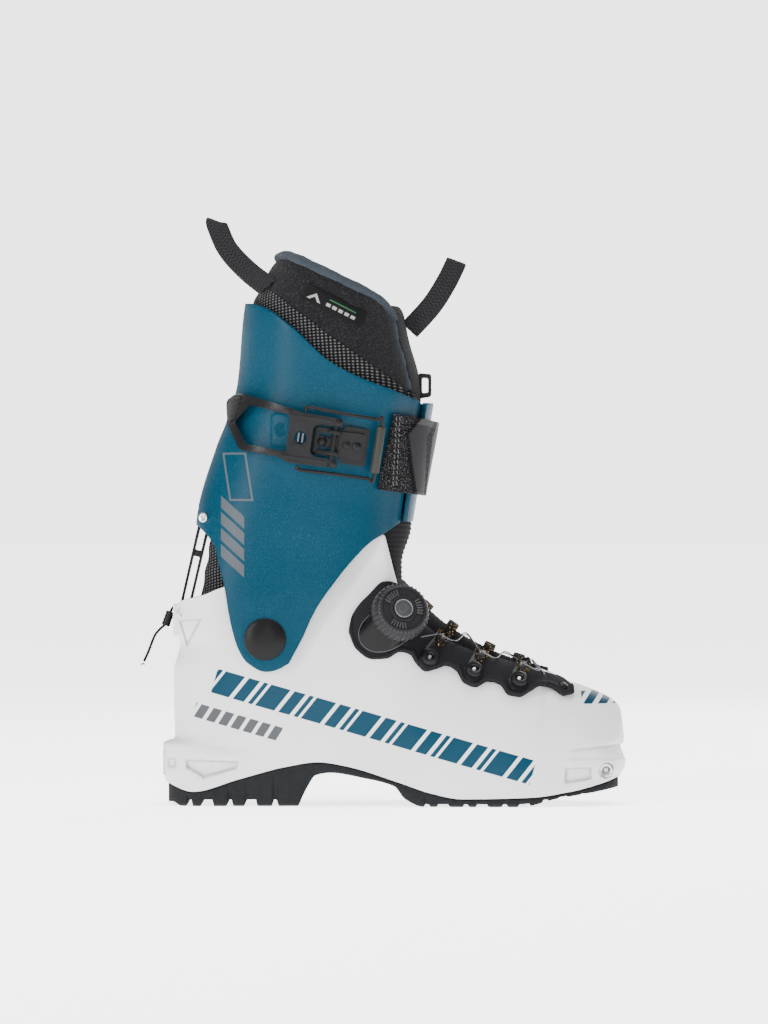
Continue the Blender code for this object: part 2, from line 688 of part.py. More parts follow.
def dial_housing():
    """The moulded mount of the dial: its foot follows the panel, its top is a round open well."""
    across = Vector((0, 0, 1)).cross(DIAL_AXIS).normalized()
    upward = DIAL_AXIS.cross(across).normalized()
    count = 32
    foot_centre = DIAL_CENTRE + Vector((-2.5, 0, -4)) * MM
    angles = [2 * math.pi * k / count for k in range(count)]

    def on_panel(reach, angle, lift):
        heel_side = max(0.0, math.cos(angle - math.radians(225))) ** 2
        x = foot_centre.x + (reach + 4 * MM * heel_side * reach / DIAL_FOOT) * math.cos(angle)
        z = foot_centre.z + (reach + 4 * MM * heel_side * reach / DIAL_FOOT) * 0.9 * math.sin(angle)
        return shell_place(x, z, PANEL_LIFT + PANEL_WALL + lift)[0]

    def on_axis(reach, height, angle):
        return dial_place(height) + (across * math.cos(angle) + upward * math.sin(angle)) * reach

    rings = [
        [on_panel(reach, a, lift) for a in angles]
        for reach, lift in ((DIAL_FOOT / 2, HOUSING_LIFT), (DIAL_FOOT, HOUSING_RIM_LIFT))
    ]
    for reach, height in ((15.5, DIAL_BASE_TOP - 2), (15.5, DIAL_BASE_TOP), (11.5, DIAL_BASE_TOP),
                          (11.5, DIAL_BASE_TOP - 5)):
        rings.append([on_axis(reach * MM, height, a) for a in angles])
    bm = skin(rings)
    floor = bm.verts.new(dial_place(DIAL_BASE_TOP - 5))
    foot = bm.verts.new(shell_place(foot_centre.x, foot_centre.z,
                                    PANEL_LIFT + PANEL_WALL + HOUSING_LIFT)[0])
    bm.verts.ensure_lookup_table()
    last = (len(rings) - 1) * count
    for k in range(count):
        m = (k + 1) % count
        bm.faces.new((bm.verts[k], bm.verts[m], foot))
        bm.faces.new((bm.verts[last + k], bm.verts[last + m], floor))
    return add("dial_housing", bm, "black_plastic")


def dial_knob(joint):
    top = DIAL_BASE_TOP
    lift = (DIAL_TRAVEL + 0.4 * MM) / MM
    spool = [(0, 4.2 + lift), (3.6, 4.2 + lift), (3.6, 0.8), (10.5, 0.8), (10.5, 0), (8, 0), (8, -1.6),
             (10.5, -1.6),
             (10.2, -2.6), (0, -2.6)]
    turned("dial_spool", spool, dial_place(top - 1.6), DIAL_AXIS, "black_plastic", joint)
    knob = [(4.1, 12), (6.2, 12), (6.2, 13.2), (13.5, 13.2), (16.2, 12.2), (17.8, 9.8), (17.8, 1.6),
            (16.8, 0.6), (4.1, 0.6), (4.1, 12)]
    turned("dial_knob", knob, dial_place(top), DIAL_AXIS, "black_plastic", joint, steps=40)
    cap = [(0, 14.0), (4.6, 14.0), (5.8, 13.4), (5.8, 12.4), (0, 12.4)]
    turned("dial_cap", cap, dial_place(top), DIAL_AXIS, "steel", joint)


# ---------------------------------------------------------------- ankle pivots
def ankle_pivots():
    for side, word in ((-1, "lateral"), (1, "medial")):
        skin_y = cuff_half_width(0, ANKLE.z) + GAP
        stud = [(0, skin_y / MM - 0.5), (4.5, skin_y / MM - 0.5), (4.5, 36.2), (8.5, 36.2), (8.5, 34.4),
                (0, 34.4)]
        turned(f"ankle_stud_{word}", stud, (0, 0, ANKLE.z), (0, side, 0), "steel", steps=24)
        cap = [(0, 3.2), (6, 2.9), (10.5, 1.9), (12.4, 0.9), (12.9, 0), (0, 0)]
        turned(f"ankle_cap_{word}", cap, (0, side * skin_y, ANKLE.z), (0, side, 0), "black_plastic",
               steps=32)


# ---------------------------------------------------------------- cuff
def cuff(joint):
    front_tuck = 3.7 * MM

    def inset(turn):
        return front_tuck * smoothstep(2.0, 2.5, turn)

    outer_end = math.pi - 0.42
    inner_end = -math.pi - 0.40
    bm = wrap(spread(outer_end, inner_end, 48), CUFF_LOW, CUFF_TOP, inset, CUFF_WALL, 10)
    part = add("cuff", bm, "cuff_plastic", joint)
    for side in (-1, 1):
        across = Vector((0, side, 0)) * MM
        cut(part, rod(ANKLE + across * 20, ANKLE + across * 70, 5.1 * MM))
    cut(part, box(CUFF_SCREW + Vector((-8, 0, -4)) * MM, (20 * MM, 16 * MM, 22 * MM)))
    return part


def cuff_screws(joint):
    for side, word in ((-1, "lateral"), (1, "medial")):
        y = side * (cuff_half_width(CUFF_SCREW.x, CUFF_SCREW.z) + 1.6 * MM)
        profile = [(0, 0.9), (1.3, 0.9), (1.3, 1.6), (2.6, 1.6), (3.0, 1.1), (3.0, 0), (0, 0)]
        turned(f"cuff_screw_{word}", profile, (CUFF_SCREW.x - 0.6 * MM, y, CUFF_SCREW.z),
               (-0.6, side, 0), "steel", joint)


# ---------------------------------------------------------------- buckle and strap
def tilt(along, across):
    """A place on the buckle: millimetres along it to the toe and across it upward, from the lever's pin."""
    lean = math.radians(8.7)
    x = LEVER_PIN.x + (along * math.cos(lean) + across * math.sin(lean)) * MM
    z = LEVER_PIN.z + (across * math.cos(lean) - along * math.sin(lean)) * MM
    return x, z


def slab(points, near, far, holes=()):
    """A slab over the cuff's side, its outline in the buckle's own directions."""
    outline = [tilt(*p) for p in points]
    return on_cuff(plate(outline, holes=[[tilt(*p) for p in hole] for hole in holes]), near * MM, far * MM)


def line(start, end, count):
    return [(mix(start[0], end[0], k / count), mix(start[1], end[1], k / count)) for k in range(count)]


def buckle_base(joint):
    """The riveted base plate with two lugs that hold the lever's pin."""
    outline = [(-13, -8.5), (5, -8.5), (6, -11.5), (21, -11.5), (21, 11.5), (6, 11.5), (5, 8.5), (-13, 8.5)]
    part = add("buckle_base", slab(outline, 0.7, 4.6), "black_metal", joint)
    turn = LEVER_AXIS.to_track_quat("Z", "Y").to_matrix().to_4x4()
    for across in (-6.5, 6.5):
        lug = lever_pin_place(5.6) + LEVER_AXIS * across * MM
        cut(part, box(lug, (9 * MM, 7.4 * MM, 2.6 * MM), turn), "UNION")
    cut(part, rod(lever_pin_place(7.8) - LEVER_AXIS * 20 * MM,
                  lever_pin_place(7.8) + LEVER_AXIS * 20 * MM, 1.8 * MM))
    for number, along in enumerate((-7.0, 14.0), start=1):
        x, z = tilt(along, 0)
        y = -(cuff_half_width(x, z) + 5.4 * MM)
        profile = [(0, 1.4), (1.6, 1.4), (3.0, 0.6), (3.0, 0), (0, 0)]
        turned(f"base_rivet_{number}", profile, (x, y, z), (0, -1, 0), "black_metal", joint, steps=16)


def lever_pin_place(depth):
    return Vector((LEVER_PIN.x, -(cuff_half_width(LEVER_PIN.x, LEVER_PIN.z) + depth * MM), LEVER_PIN.z))


def buckle_lever(joint):
    """The lever: two arms that reach just past the pin, joined by a bridge, and a grip at the back."""
    outer = line((-66, -5.5), (-60, -13.5), 1) + line((-60, -13.5), (-30, -12.8), 1)
    outer += [(-30, -12.8), (-26, -16.2), (3.5, -15.2), (3.5, -10.2), (-20, -10.2), (-20, 10.2),
              (3.5, 10.2)]
    outer += [(3.5, 15.2), (-26, 15.2), (-62, 18.5), (-68, 15)]
    window = [(-54, 12), (-30, 10.5), (-30, -9), (-55, -8.5)]
    part = add("buckle_lever", slab(outer, 6.0, 10.4, holes=[window]), "black_metal", joint)
    pin = lever_pin_place(7.8)
    cut(part, rod(pin - LEVER_AXIS * 20 * MM, pin + LEVER_AXIS * 20 * MM, 1.8 * MM))
    return part


def lever_pin(joint):
    pin = lever_pin_place(7.8)
    add("lever_pin", rod(pin - LEVER_AXIS * 15 * MM, pin + LEVER_AXIS * 15 * MM, 1.45 * MM, 16),
        "steel", joint)


def bail_place(along, across, depth):
    x, z = tilt(along, across)
    return Vector((x, -(cuff_half_width(x, z) + depth * MM), z))


BAIL_ALONG = -19
BAIL_DEPTH = 8.0


def bail(joint):
    """The wire bail: from the lever forward on both sides, with a roller that pulls on the strap's loop."""
    side = ((BAIL_ALONG, 17.0, BAIL_DEPTH), (BAIL_ALONG, 19.4, BAIL_DEPTH), (-8, 19.2, 8.2), (4, 18.8, 8.2),
            (16, 18.6, 7.8), (24, 18.4, 7.2), (27.8, 17.4, 6.8))
    knots = [bail_place(*p) for p in side]
    knots += [bail_place(along, -across, depth) for along, across, depth in reversed(side)]
    tube("bail_wire", smooth_path(knots, 3), 1.1 * MM, "steel", joint)
    middle = (knots[6] + knots[7]) / 2
    along = (knots[6] - knots[7]).normalized()
    part = add("bail_roller", rod(middle - along * 14.5 * MM, middle + along * 14.5 * MM, 2.9 * MM, 20),
               "black_plastic", joint)
    cut(part, rod(middle - along * 20 * MM, middle + along * 20 * MM, 1.6 * MM, 20))


def strap(joint):
    low = through([(40, 203), (72, 196), (92, 193.5), (110, 191)])
    high = through([(40, 249), (72, 243.5), (92, 241), (110, 237.5)])
    start = turn_at(74.0 * MM, 220 * MM)
    band = wrap(spread(start, math.pi * 2 - 1.9, 22), low, high, -2.6 * MM, 2.2 * MM, 4)
    add("strap_band", band, "webbing", joint)
    tab_start = turn_at(86 * MM, 220 * MM)
    tab = wrap(spread(tab_start, math.pi + 0.35, 10), low, high, -5.4 * MM, 2.2 * MM, 4)
    add("strap_tab", tab, "webbing", joint)
    anchor = cuff_point(math.pi * 2 - 2.0, 222 * MM, -3.9 * MM)
    profile = [(0, 1.6), (2.4, 1.6), (4.6, 0.6), (4.6, 0), (0, 0)]
    turned("strap_anchor", profile, anchor, (0.25, 1, 0), "steel", joint)


def turn_at(x, z):
    """The turn at which the outer side of the cuff reaches this X."""
    low, high = 0.3, math.pi
    for _ in range(30):
        middle = (low + high) / 2
        if cuff_point(middle, z).x < x:
            low = middle
        else:
            high = middle
    return low


# ---------------------------------------------------------------- walk-mode lock
def lock_bar(joint):
    """The lock bar: a ladder of two rails with two windows, hinged on a pin inside the cuff's rear."""
    top, bottom = Vector((-37.9, 0, 178.8)), Vector((-52.2, 0, 117.0))
    along = (bottom - top).normalized()
    across = Vector((-along.z, 0, along.x))
    length = (bottom - top).length

    def at(run, side):
        place = (top + along * run + across * side) * MM
        return place.x, place.z

    outline = [at(-3.6, -2), at(-3.6, 2), at(0, 3.6), at(length, 3.4), at(length, -3.4), at(0, -3.6)]
    upper = [at(8, -1.7), at(8, 1.7), at(20, 1.7), at(20, -1.7)]
    lower = [at(25, -1.7), at(25, 1.7), at(length - 9, 1.7), at(length - 9, -1.7)]
    part = add("lock_bar", plate(outline, 11 * MM, holes=[upper, lower]), "black_plastic", joint)
    cut(part, rod(CUFF_SCREW - Vector((0, 20, 0)) * MM, CUFF_SCREW + Vector((0, 20, 0)) * MM, 1.9 * MM, 16))
    return part


def lock_hinge_pin(joint):
    half = Vector((0, 10.5, 0)) * MM
    add("lock_hinge_pin", rod(CUFF_SCREW - half, CUFF_SCREW + half, 1.5 * MM, 16), "steel", joint)


def pull_cord(joint):
    """The pull cord: tied at the bar's foot, through a toggle, with a frayed tail."""
    route = [(-56.9, 0, 124.5), (-59.2, 0, 121.5), (-61.0, 0, 117.5), (-62.6, 0, 113.0), (-66.5, 0, 109.2),
             (-69.6, 0.4, 105.5), (-71.6, 0.8, 101.0), (-73.6, 0.6, 95.6), (-76.6, 0, 88.9)]
    knots = [Vector(p) * MM for p in route]
    tube("pull_cord", smooth_path(knots, 2), 0.85 * MM, "webbing", joint)


def cord_toggle(joint):
    start, end = Vector((-60.0, 0, 120.0)) * MM, Vector((-63.2, 0, 111.3)) * MM
    part = add("cord_toggle", rod(start, end, 2.6 * MM, 20), "black_plastic", joint)
    along = (end - start).normalized()
    cut(part, rod(start - along * 4 * MM, end + along * 4 * MM, 1.6 * MM, 16))


def lock_screws():
    for side, word in ((-1, "lateral"), (1, "medial")):
        profile = [(0, 0.6), (1.0, 0.6), (1.0, 1.4), (2.4, 1.4), (2.4, -6), (0, -6)]
        place = LOCK_SCREW + Vector((0, side * 20, 0)) * MM
        turned(f"lock_screw_{word}", profile, place, (0, side, 0), "steel", steps=16)


# ---------------------------------------------------------------- liner
LINER_ANKLE = 126.5 * MM
LINER_CUFF = 186.5 * MM
LINER_ROOF = through([(64, 126.5), (78, 118), (90, 108), (100, 98), (132, 81), (160, 73), (190, 64),
                      (206, 52)])
LINER_EDGE = through([
    (-6, 336), (7.4, 340.6), (12, 343), (17.7, 341.3), (30, 335.5), (47.6, 326.9), (70.3, 314.4), (80,
                                        306), (92, 300),
])


def round_ends(share):
    """How a foot shape narrows at its heel and toe, share running from one to the other."""
    heel, toe = min(1.0, share / 0.11), min(1.0, (1 - share) / 0.16)
    return math.sqrt(max(0.0, 1 - (1 - heel) ** 2.4)) * math.sqrt(max(0.0, 1 - (1 - toe) ** 2.4))


def liner_column(k, v, columns, inset):
    share = (1 - math.cos(math.pi * k / columns)) / 2
    x = mix(-45 * MM + inset, 204 * MM - inset, share)
    low = SOLE_LINE(x) + 10.5 * MM + inset
    closed = smoothstep(62 * MM, 74 * MM, x)
    z = mix(low, LINER_ROOF(x) - inset * closed, v)
    arch = math.sqrt(max(0.0, 1 - v ** 2.6))
    width = mix(BASE_WIDTH(x) - 6.5 * MM, 32 * MM, min(1.0, v * 1.6) * (1 - smoothstep(40 * MM,
                                        90 * MM, x)))
    width = mix(width, width * arch, closed)
    return x, z, max(0.0, width - inset) * round_ends(share) if 0 < k < columns else 0.0


def liner_foot():
    """The foot of the liner: a thick closed-toe sock, open at the ankle."""
    columns, rows, wall = 18, 7, 5 * MM
    bm = bmesh.new()
    tops = []
    for inset in (0.0, wall):
        rings = []
        for row in range(rows + 1):
            places = [liner_column(k, row / rows, columns, inset) for k in range(columns + 1)]
            rings.append(ring_of([(x, width, z) for x, z, width in places]))
        stitch(bm, rings, cap_first=True)
        tops.append(rings[-1])
    outer = [bm.verts.new(p) for p in tops[0]]
    inner = [bm.verts.new(p) for p in tops[1]]
    for k in range(len(outer)):
        m = (k + 1) % len(outer)
        if max(abs(tops[0][k].y), abs(tops[0][m].y)) > 0.01 * MM or tops[0][k].x < 0:
            bm.faces.new((outer[k], outer[m], inner[m], inner[k]))
    loose = [v for v in bm.verts if not v.link_faces]
    bmesh.ops.delete(bm, geom=loose, context="VERTS")
    add("liner_foot", bm, "felt")


def liner_flex_zone():
    """The soft part of the liner round the ankle, which folds as the cuff flexes."""
    rings = {0.0: [], 5 * MM: []}
    for share in spread(0, 1, 4):
        z = mix(LINER_ANKLE + 0.6 * MM, LINER_CUFF - 0.6 * MM, share)
        rear = mix(-42, -30.5, share) * MM
        front = mix(60, 72, share) * MM
        for inset, made in rings.items():
            reach, width = (front - rear) / 2 - inset, 31 * MM - inset
            made.append([
                Vector(((rear + front) / 2 + reach * math.cos(a), width * math.sin(a), z))
                for a in spread(0, 2 * math.pi, 24)[:-1]
            ])
    loop = rings[0.0] + rings[5 * MM][::-1]
    bm = skin(loop + [loop[0]])
    add("liner_flex_zone", bm, "felt")


def liner_shaft(joint):
    """The liner's shaft inside the cuff: one padded wrap, open at the front over the tongue."""
    def inset(turn):
        return 4.8 * MM + 3.4 * MM * smoothstep(1.75, 2.3, abs(turn))

    end = math.pi - 0.66
    bm = wrap(spread(end, -end, 26), lambda x: LINER_CUFF, LINER_EDGE, inset, 7 * MM, 6)
    add("liner_shaft", bm, "felt", joint)


def liner_tongue(joint):
    bm = wrap(
        spread(math.pi - 0.58, math.pi + 0.58, 8), lambda x: 188 * MM, lambda x: 311 * MM,
        8.4 * MM, 6 * MM, 6,
    )
    add("liner_tongue", bm, "felt", joint)
    x = CUFF_FRONT(261 * MM) - 8.4 * MM + 4.2 * MM
    part = add("tongue_tab", box((x, 0, 262.5 * MM), (6 * MM, 12 * MM, 15 * MM)), "black_plastic", joint)
    cut(part, box((x, 0, 263 * MM), (2.8 * MM, 20 * MM, 9 * MM)))


def band(name, path, width, thickness, finish, joint):
    """A strip of webbing along a path that is mirrored in Y, its width lying in the boot's side plane."""
    path = path + [Vector((p.x, -p.y, p.z)) for p in reversed(path[:-1])]
    path = smooth_path(path, 3)
    outer, inner = [], []
    for i, place in enumerate(path):
        ahead = (path[min(i + 1, len(path) - 1)] - path[max(i - 1, 0)]).normalized()
        side_run = Vector((ahead.x, 0, ahead.z))
        mirror = 1 if i <= len(path) // 2 else -1
        lean = Vector((-side_run.z, 0, side_run.x)) * mirror + Vector((-0.9, 0,
                                        0.35)) * (1 - side_run.length)
        across = lean.normalized() * width / 2
        out = ahead.cross(across).normalized() * thickness / 2
        outer.append([place - across + out, place + out, place + across + out])
        inner.append([place - across - out, place - out, place + across - out])
    return add(name, patch_solid(outer, inner), finish, joint)


LOOP_WIDTH = 13 * MM


def pull_loops(joint):
    start = cuff_point(0.62, 322 * MM, 0.9 * MM)
    rear = [start, Vector((-12, -19, 333)) * MM, Vector((-24, -14, 346)) * MM,
            Vector((-30.5, -7, 360)) * MM,
            Vector((-31.5, 0, 363.5)) * MM]
    band("rear_pull_loop", rear, LOOP_WIDTH, 1.8 * MM, "webbing", joint)
    front = [Vector((90.6, -10, 297)) * MM, Vector((103, -11, 311)) * MM, Vector((112, -10, 325)) * MM,
             Vector((117.5, -5.5, 336)) * MM, Vector((118.5, 0, 338.5)) * MM]
    band("front_pull_loop", front, LOOP_WIDTH, 1.8 * MM, "webbing", joint)


def build():
    cuff_joint = joint_empty("cuff_axis", ANKLE)
    dial_joint = joint_empty("dial_axis", dial_place(0))
    lever_joint = joint_empty("lever_axis", lever_pin_place(7.8))
    bail_joint = joint_empty("bail_axis", bail_place(BAIL_ALONG, 0, BAIL_DEPTH))
    lock_joint = joint_empty("lock_axis", CUFF_SCREW)
    lower_shell()
    outsole()
    heel_insert()
    toe_inserts()
    foot_beds()
    liner_foot()
    liner_flex_zone()
    for side, word in ((-1, "lateral"), (1, "medial")):
        lace_panel(word, side)
    instep_gaiter()
    gaiter_neck()
    eyelets()
    lace_guides()
    lace()
    dial_housing()
    dial_knob(dial_joint)
    ankle_pivots()
    lock_screws()
    cuff(cuff_joint)
    cuff_screws(cuff_joint)
    lock_hinge_pin(cuff_joint)
    buckle_base(cuff_joint)
    lever_pin(cuff_joint)
    strap(cuff_joint)
    liner_shaft(cuff_joint)
    liner_tongue(cuff_joint)
    pull_loops(cuff_joint)
    buckle_lever(lever_joint)
    bail(bail_joint)
    lock_bar(lock_joint)
    pull_cord(lock_joint)
    cord_toggle(lock_joint)


build()
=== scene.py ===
import bisect
import math

import bmesh
import bpy
from mathutils import Matrix, Vector


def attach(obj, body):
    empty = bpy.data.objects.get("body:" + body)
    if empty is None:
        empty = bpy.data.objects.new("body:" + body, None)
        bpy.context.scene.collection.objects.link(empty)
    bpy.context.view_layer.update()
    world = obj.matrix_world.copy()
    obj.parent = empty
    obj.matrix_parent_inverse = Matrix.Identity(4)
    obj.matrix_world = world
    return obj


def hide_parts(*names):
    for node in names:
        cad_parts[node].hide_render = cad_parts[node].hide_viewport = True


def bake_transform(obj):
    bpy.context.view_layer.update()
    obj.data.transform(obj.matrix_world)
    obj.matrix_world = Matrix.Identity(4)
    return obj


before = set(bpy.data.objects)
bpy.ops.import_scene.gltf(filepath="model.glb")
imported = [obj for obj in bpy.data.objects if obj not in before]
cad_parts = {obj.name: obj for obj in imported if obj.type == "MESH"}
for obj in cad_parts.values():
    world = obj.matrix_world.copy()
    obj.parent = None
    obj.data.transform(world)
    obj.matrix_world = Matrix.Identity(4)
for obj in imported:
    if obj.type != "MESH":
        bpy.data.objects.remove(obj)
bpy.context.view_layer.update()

MM = 0.001


# ================================================================ studio
# A white paper floor before a bright even backdrop, two tall strip lamps in front, a soft lamp above and one
# behind, seen level from the boot's outer side through a long lens.
VIEW_CENTRE = Vector((73.4, 0, 182.2)) * MM
VIEW_HEIGHT = 640 * MM
CAMERA_DISTANCE = 3.6
SENSOR = 36
AIR_LIGHT = 0.6
BACKDROP_LIGHT = 4.2
PAPER_REACH = 30
PAPER_GLOW = 3.0


def studio():
    camera_data = bpy.data.cameras.new("camera")
    camera_data.sensor_width = SENSOR
    camera_data.lens = SENSOR * CAMERA_DISTANCE / VIEW_HEIGHT
    camera = bpy.data.objects.new("camera", camera_data)
    camera.location = VIEW_CENTRE + Vector((0, -CAMERA_DISTANCE, 0))
    camera.rotation_euler = (math.radians(90), 0, 0)
    bpy.context.scene.collection.objects.link(camera)
    bpy.context.scene.camera = camera
    lamps = (  # name, place in metres, width, height, power, colour
        ("key", (-1.4, -1.5, 0.9), 0.14, 1.6, 50, (1.0, 0.99, 0.97)),
        ("fill", (0.2, -2.2, 0.9), 0.12, 1.5, 10, (0.97, 0.98, 1.0)),
        ("top", (0.15, -0.1, 1.9), 1.2, 1.2, 40, (1, 1, 1)),
        ("back", (0.9, 1.5, 1.0), 0.8, 1.4, 20, (1, 1, 1)),
    )
    for name, place, width, height, power, colour in lamps:
        light = bpy.data.lights.new(name, "AREA")
        light.shape = "RECTANGLE"
        light.size = width
        light.size_y = height
        light.energy = power
        light.color = colour
        lamp = bpy.data.objects.new(name, light)
        lamp.location = place
        lamp.rotation_euler = (VIEW_CENTRE - Vector(place)).to_track_quat("-Z", "Y").to_euler()
        bpy.context.scene.collection.objects.link(lamp)
    light_the_air()


def light_the_air():
    """A soft white light from all round, and a brighter backdrop where the camera looks past the paper."""
    world = bpy.data.worlds.new("studio")
    world.use_nodes = True
    air = world.node_tree.nodes["Background"]
    air.inputs["Color"].default_value = (1, 1, 1, 1)
    air.inputs["Strength"].default_value = AIR_LIGHT
    backdrop = world.node_tree.nodes.new("ShaderNodeBackground")
    backdrop.inputs["Strength"].default_value = BACKDROP_LIGHT
    path = world.node_tree.nodes.new("ShaderNodeLightPath")
    either = world.node_tree.nodes.new("ShaderNodeMixShader")
    world.node_tree.links.new(path.outputs["Is Camera Ray"], either.inputs[0])
    world.node_tree.links.new(air.outputs[0], either.inputs[1])
    world.node_tree.links.new(backdrop.outputs[0], either.inputs[2])
    world.node_tree.links.new(either.outputs[0], world.node_tree.nodes["World Output"].inputs["Surface"])
    bpy.context.scene.world = world


def sweep():
    """The paper: flat white under the boot, as far as the eye reaches."""
    bm = bmesh.new()
    bmesh.ops.create_circle(bm, cap_ends=True, segments=48, radius=PAPER_REACH)
    mesh = bpy.data.meshes.new("paper_sweep")
    bm.to_mesh(mesh)
    mesh.shade_smooth()
    paper = bpy.data.objects.new("paper_sweep", mesh)
    finish = bpy.data.materials.new("paper")
    finish.use_nodes = True
    shader = finish.node_tree.nodes["Principled BSDF"]
    shader.inputs["Base Color"].default_value = (0.95, 0.95, 0.95, 1)
    shader.inputs["Roughness"].default_value = 0.9
    shader.inputs["Specular IOR Level"].default_value = 0.0
    shader.inputs["Emission Color"].default_value = (1, 1, 1, 1)
    shader.inputs["Emission Strength"].default_value = PAPER_GLOW
    mesh.materials.append(finish)
    bpy.context.scene.collection.objects.link(paper)


studio()


# ================================================================ pull cord
# A thin braided black cord knotted to the foot of the lock bar: pulling it lifts the bar into walk mode. It
# hangs free with a frayed end, and a small barrel toggle is threaded on it.
class Value:
    """A number in a material; arithmetic on it adds Math nodes."""

    def __init__(self, finish, socket):
        self.finish = finish
        self.socket = socket

    def math(self, operation, first, second=None, clamp=False):
        inputs = {0: first} if second is None else {0: first, 1: second}
        return self.finish.add("ShaderNodeMath", {"operation": operation, "use_clamp": clamp}, inputs)

    def __add__(self, other):
        return self.math("ADD", self, other)

    __radd__ = __add__

    def __sub__(self, other):
        return self.math("SUBTRACT", self, other)

    def __rsub__(self, other):
        return self.math("SUBTRACT", other, self)

    def __mul__(self, other):
        return self.math("MULTIPLY", self, other)

    __rmul__ = __mul__

    def __truediv__(self, other):
        return self.math("DIVIDE", self, other)

    def __pow__(self, other):
        return self.math("POWER", self, other)

    def floor(self):
        return self.math("FLOOR", self)

    def abs(self):
        return self.math("ABSOLUTE", self)

    def sine(self):
        return self.math("SINE", self)

    def above(self, edge, soft):
        """0 well below the edge, 1 well above it, and even in between over the soft distance."""
        return self.math("ADD", (self - edge) / soft, 0.5, clamp=True)

    def below(self, edge, soft):
        return 1 - self.above(edge, soft)

    def within(self, low, high, soft):
        return self.above(low, soft) * self.below(high, soft)


class Finish:
    """A material built node by node round one Principled shader."""

    def __init__(self, name, **constants):
        self.material = bpy.data.materials.new(name)
        self.material.use_nodes = True
        self.tree = self.material.node_tree
        self.shader = self.tree.nodes["Principled BSDF"]
        self.shader.inputs["Specular IOR Level"].default_value = 0.06
        for socket, value in constants.items():
            self.shader.inputs[socket.replace("_", " ")].default_value = value

    def add(self, kind, settings=None, inputs=None, output=0):
        """Any node: its settings, then the values or links of its sockets; returns one output."""
        node = self.tree.nodes.new(kind)
        for key, value in (settings or {}).items():
            setattr(node, key, value)
        for key, value in (inputs or {}).items():
            socket = node.inputs[key]
            if isinstance(value, Value):
                self.tree.links.new(value.socket, socket)
            else:
                socket.default_value = value
        return Value(self, node.outputs[output])

    def place(self):
        """The piece's own X, Y and Z in millimetres."""
        spot = self.add("ShaderNodeTexCoord", output="Object")
        whole = self.add("ShaderNodeVectorMath", {"operation": "SCALE"}, {0: spot, "Scale": 1 / MM})
        return whole, *(self.add("ShaderNodeSeparateXYZ", inputs={0: whole}, output=k) for k in "XYZ")

    def surface(self):
        """The piece's UV map as two numbers in millimetres along and across it."""
        spot = self.add("ShaderNodeUVMap", {"uv_map": "run"})
        whole = self.add("ShaderNodeVectorMath", {"operation": "SCALE"}, {0: spot, "Scale": 1 / MM})
        return whole, *(self.add("ShaderNodeSeparateXYZ", inputs={0: whole}, output=k) for k in "XY")

    def noise(self, vector, scale, detail=2.0, rough=0.5):
        sockets = {"Vector": vector, "Scale": scale, "Detail": detail, "Roughness": rough}
        return self.add("ShaderNodeTexNoise", inputs=sockets)

    def cells(self, vector, scale, feature="F1"):
        return self.add("ShaderNodeTexVoronoi", {"feature": feature}, {"Vector": vector, "Scale": scale})

    def blend(self, share, low, high):
        """A colour between two, by a share from 0 to 1."""
        return self.add(
            "ShaderNodeMix", {"data_type": "RGBA"}, {0: share, 6: rgba(low), 7: rgba(high)}, output=2
        )

    def finish(self, colour=None, roughness=None, metallic=None, height=None, depth=0.1 * MM, strength=1.0):
        """Feeds the shader; height is a relief from 0 to 1 that stands for this depth."""
        if height is not None:
            sockets = {"Height": height, "Distance": depth, "Strength": strength}
            normal = self.add("ShaderNodeBump", inputs=sockets)
            self.tree.links.new(normal.socket, self.shader.inputs["Normal"])
        for socket, value in (("Base Color", colour), ("Roughness", roughness), ("Metallic", metallic)):
            if value is not None:
                self.tree.links.new(value.socket, self.shader.inputs[socket])
        return self.material


def rgba(colour):
    return colour if isinstance(colour, Value) else (*colour, 1)


def mix(a, b, t):
    return a + (b - a) * t


def smooth_path(points, steps):
    """Points along a Catmull-Rom curve through the given ones."""
    points = [Vector(p) for p in points]
    path = []
    for i in range(len(points) - 1):
        p0, p1 = points[max(i - 1, 0)], points[i]
        p2, p3 = points[i + 1], points[min(i + 2, len(points) - 1)]
        for k in range(steps):
            t = k / steps
            a = 2 * p1 + (p2 - p0) * t
            b = (2 * p0 - 5 * p1 + 4 * p2 - p3) * t * t
            c = (3 * p1 - p0 - 3 * p2 + p3) * t ** 3
            path.append((a + b + c) / 2)
    return path + [points[-1]]


def link(name, data, material=None):
    piece = bpy.data.objects.new(name, data)
    bpy.context.scene.collection.objects.link(piece)
    if material:
        data.materials.append(material)
    return piece


def tube(name, points, radius, material, sides=3):
    curve = bpy.data.curves.new(name, "CURVE")
    curve.dimensions = "3D"
    curve.bevel_depth = radius
    curve.bevel_resolution = sides
    curve.use_fill_caps = True
    spline = curve.splines.new("POLY")
    spline.points.add(len(points) - 1)
    for knot, point in zip(spline.points, points):
        knot.co = (*point, 1)
    return link(name, curve, material)


def length_of(points):
    return sum((b - a).length for a, b in zip(points, points[1:]))


def braid_finish(name, colour, light):
    made = Finish(name, Roughness=0.8)
    whole, x, y, z = made.place()
    strands = ((x * 3.1 + z * 4.4).sine() * (y * 6.0 - z * 4.4).sine()) * 0.5 + 0.5
    fuzz = made.noise(whole, 3.0)
    return made.finish(made.blend(strands * fuzz, colour, light), height=strands, depth=0.12 * MM)


CORD_RADIUS = 0.85 * MM
CORD_ROUTE = [Vector(p) * MM for p in (
    (-56.9, 0, 124.5), (-59.2, 0, 121.5), (-61.0, 0, 117.5), (-62.6, 0, 113.0), (-66.5, 0, 109.2),
    (-69.6, 0.4, 105.5), (-71.6, 0.8, 101.0), (-73.6, 0.6, 95.6), (-76.6, 0, 88.9),
)]


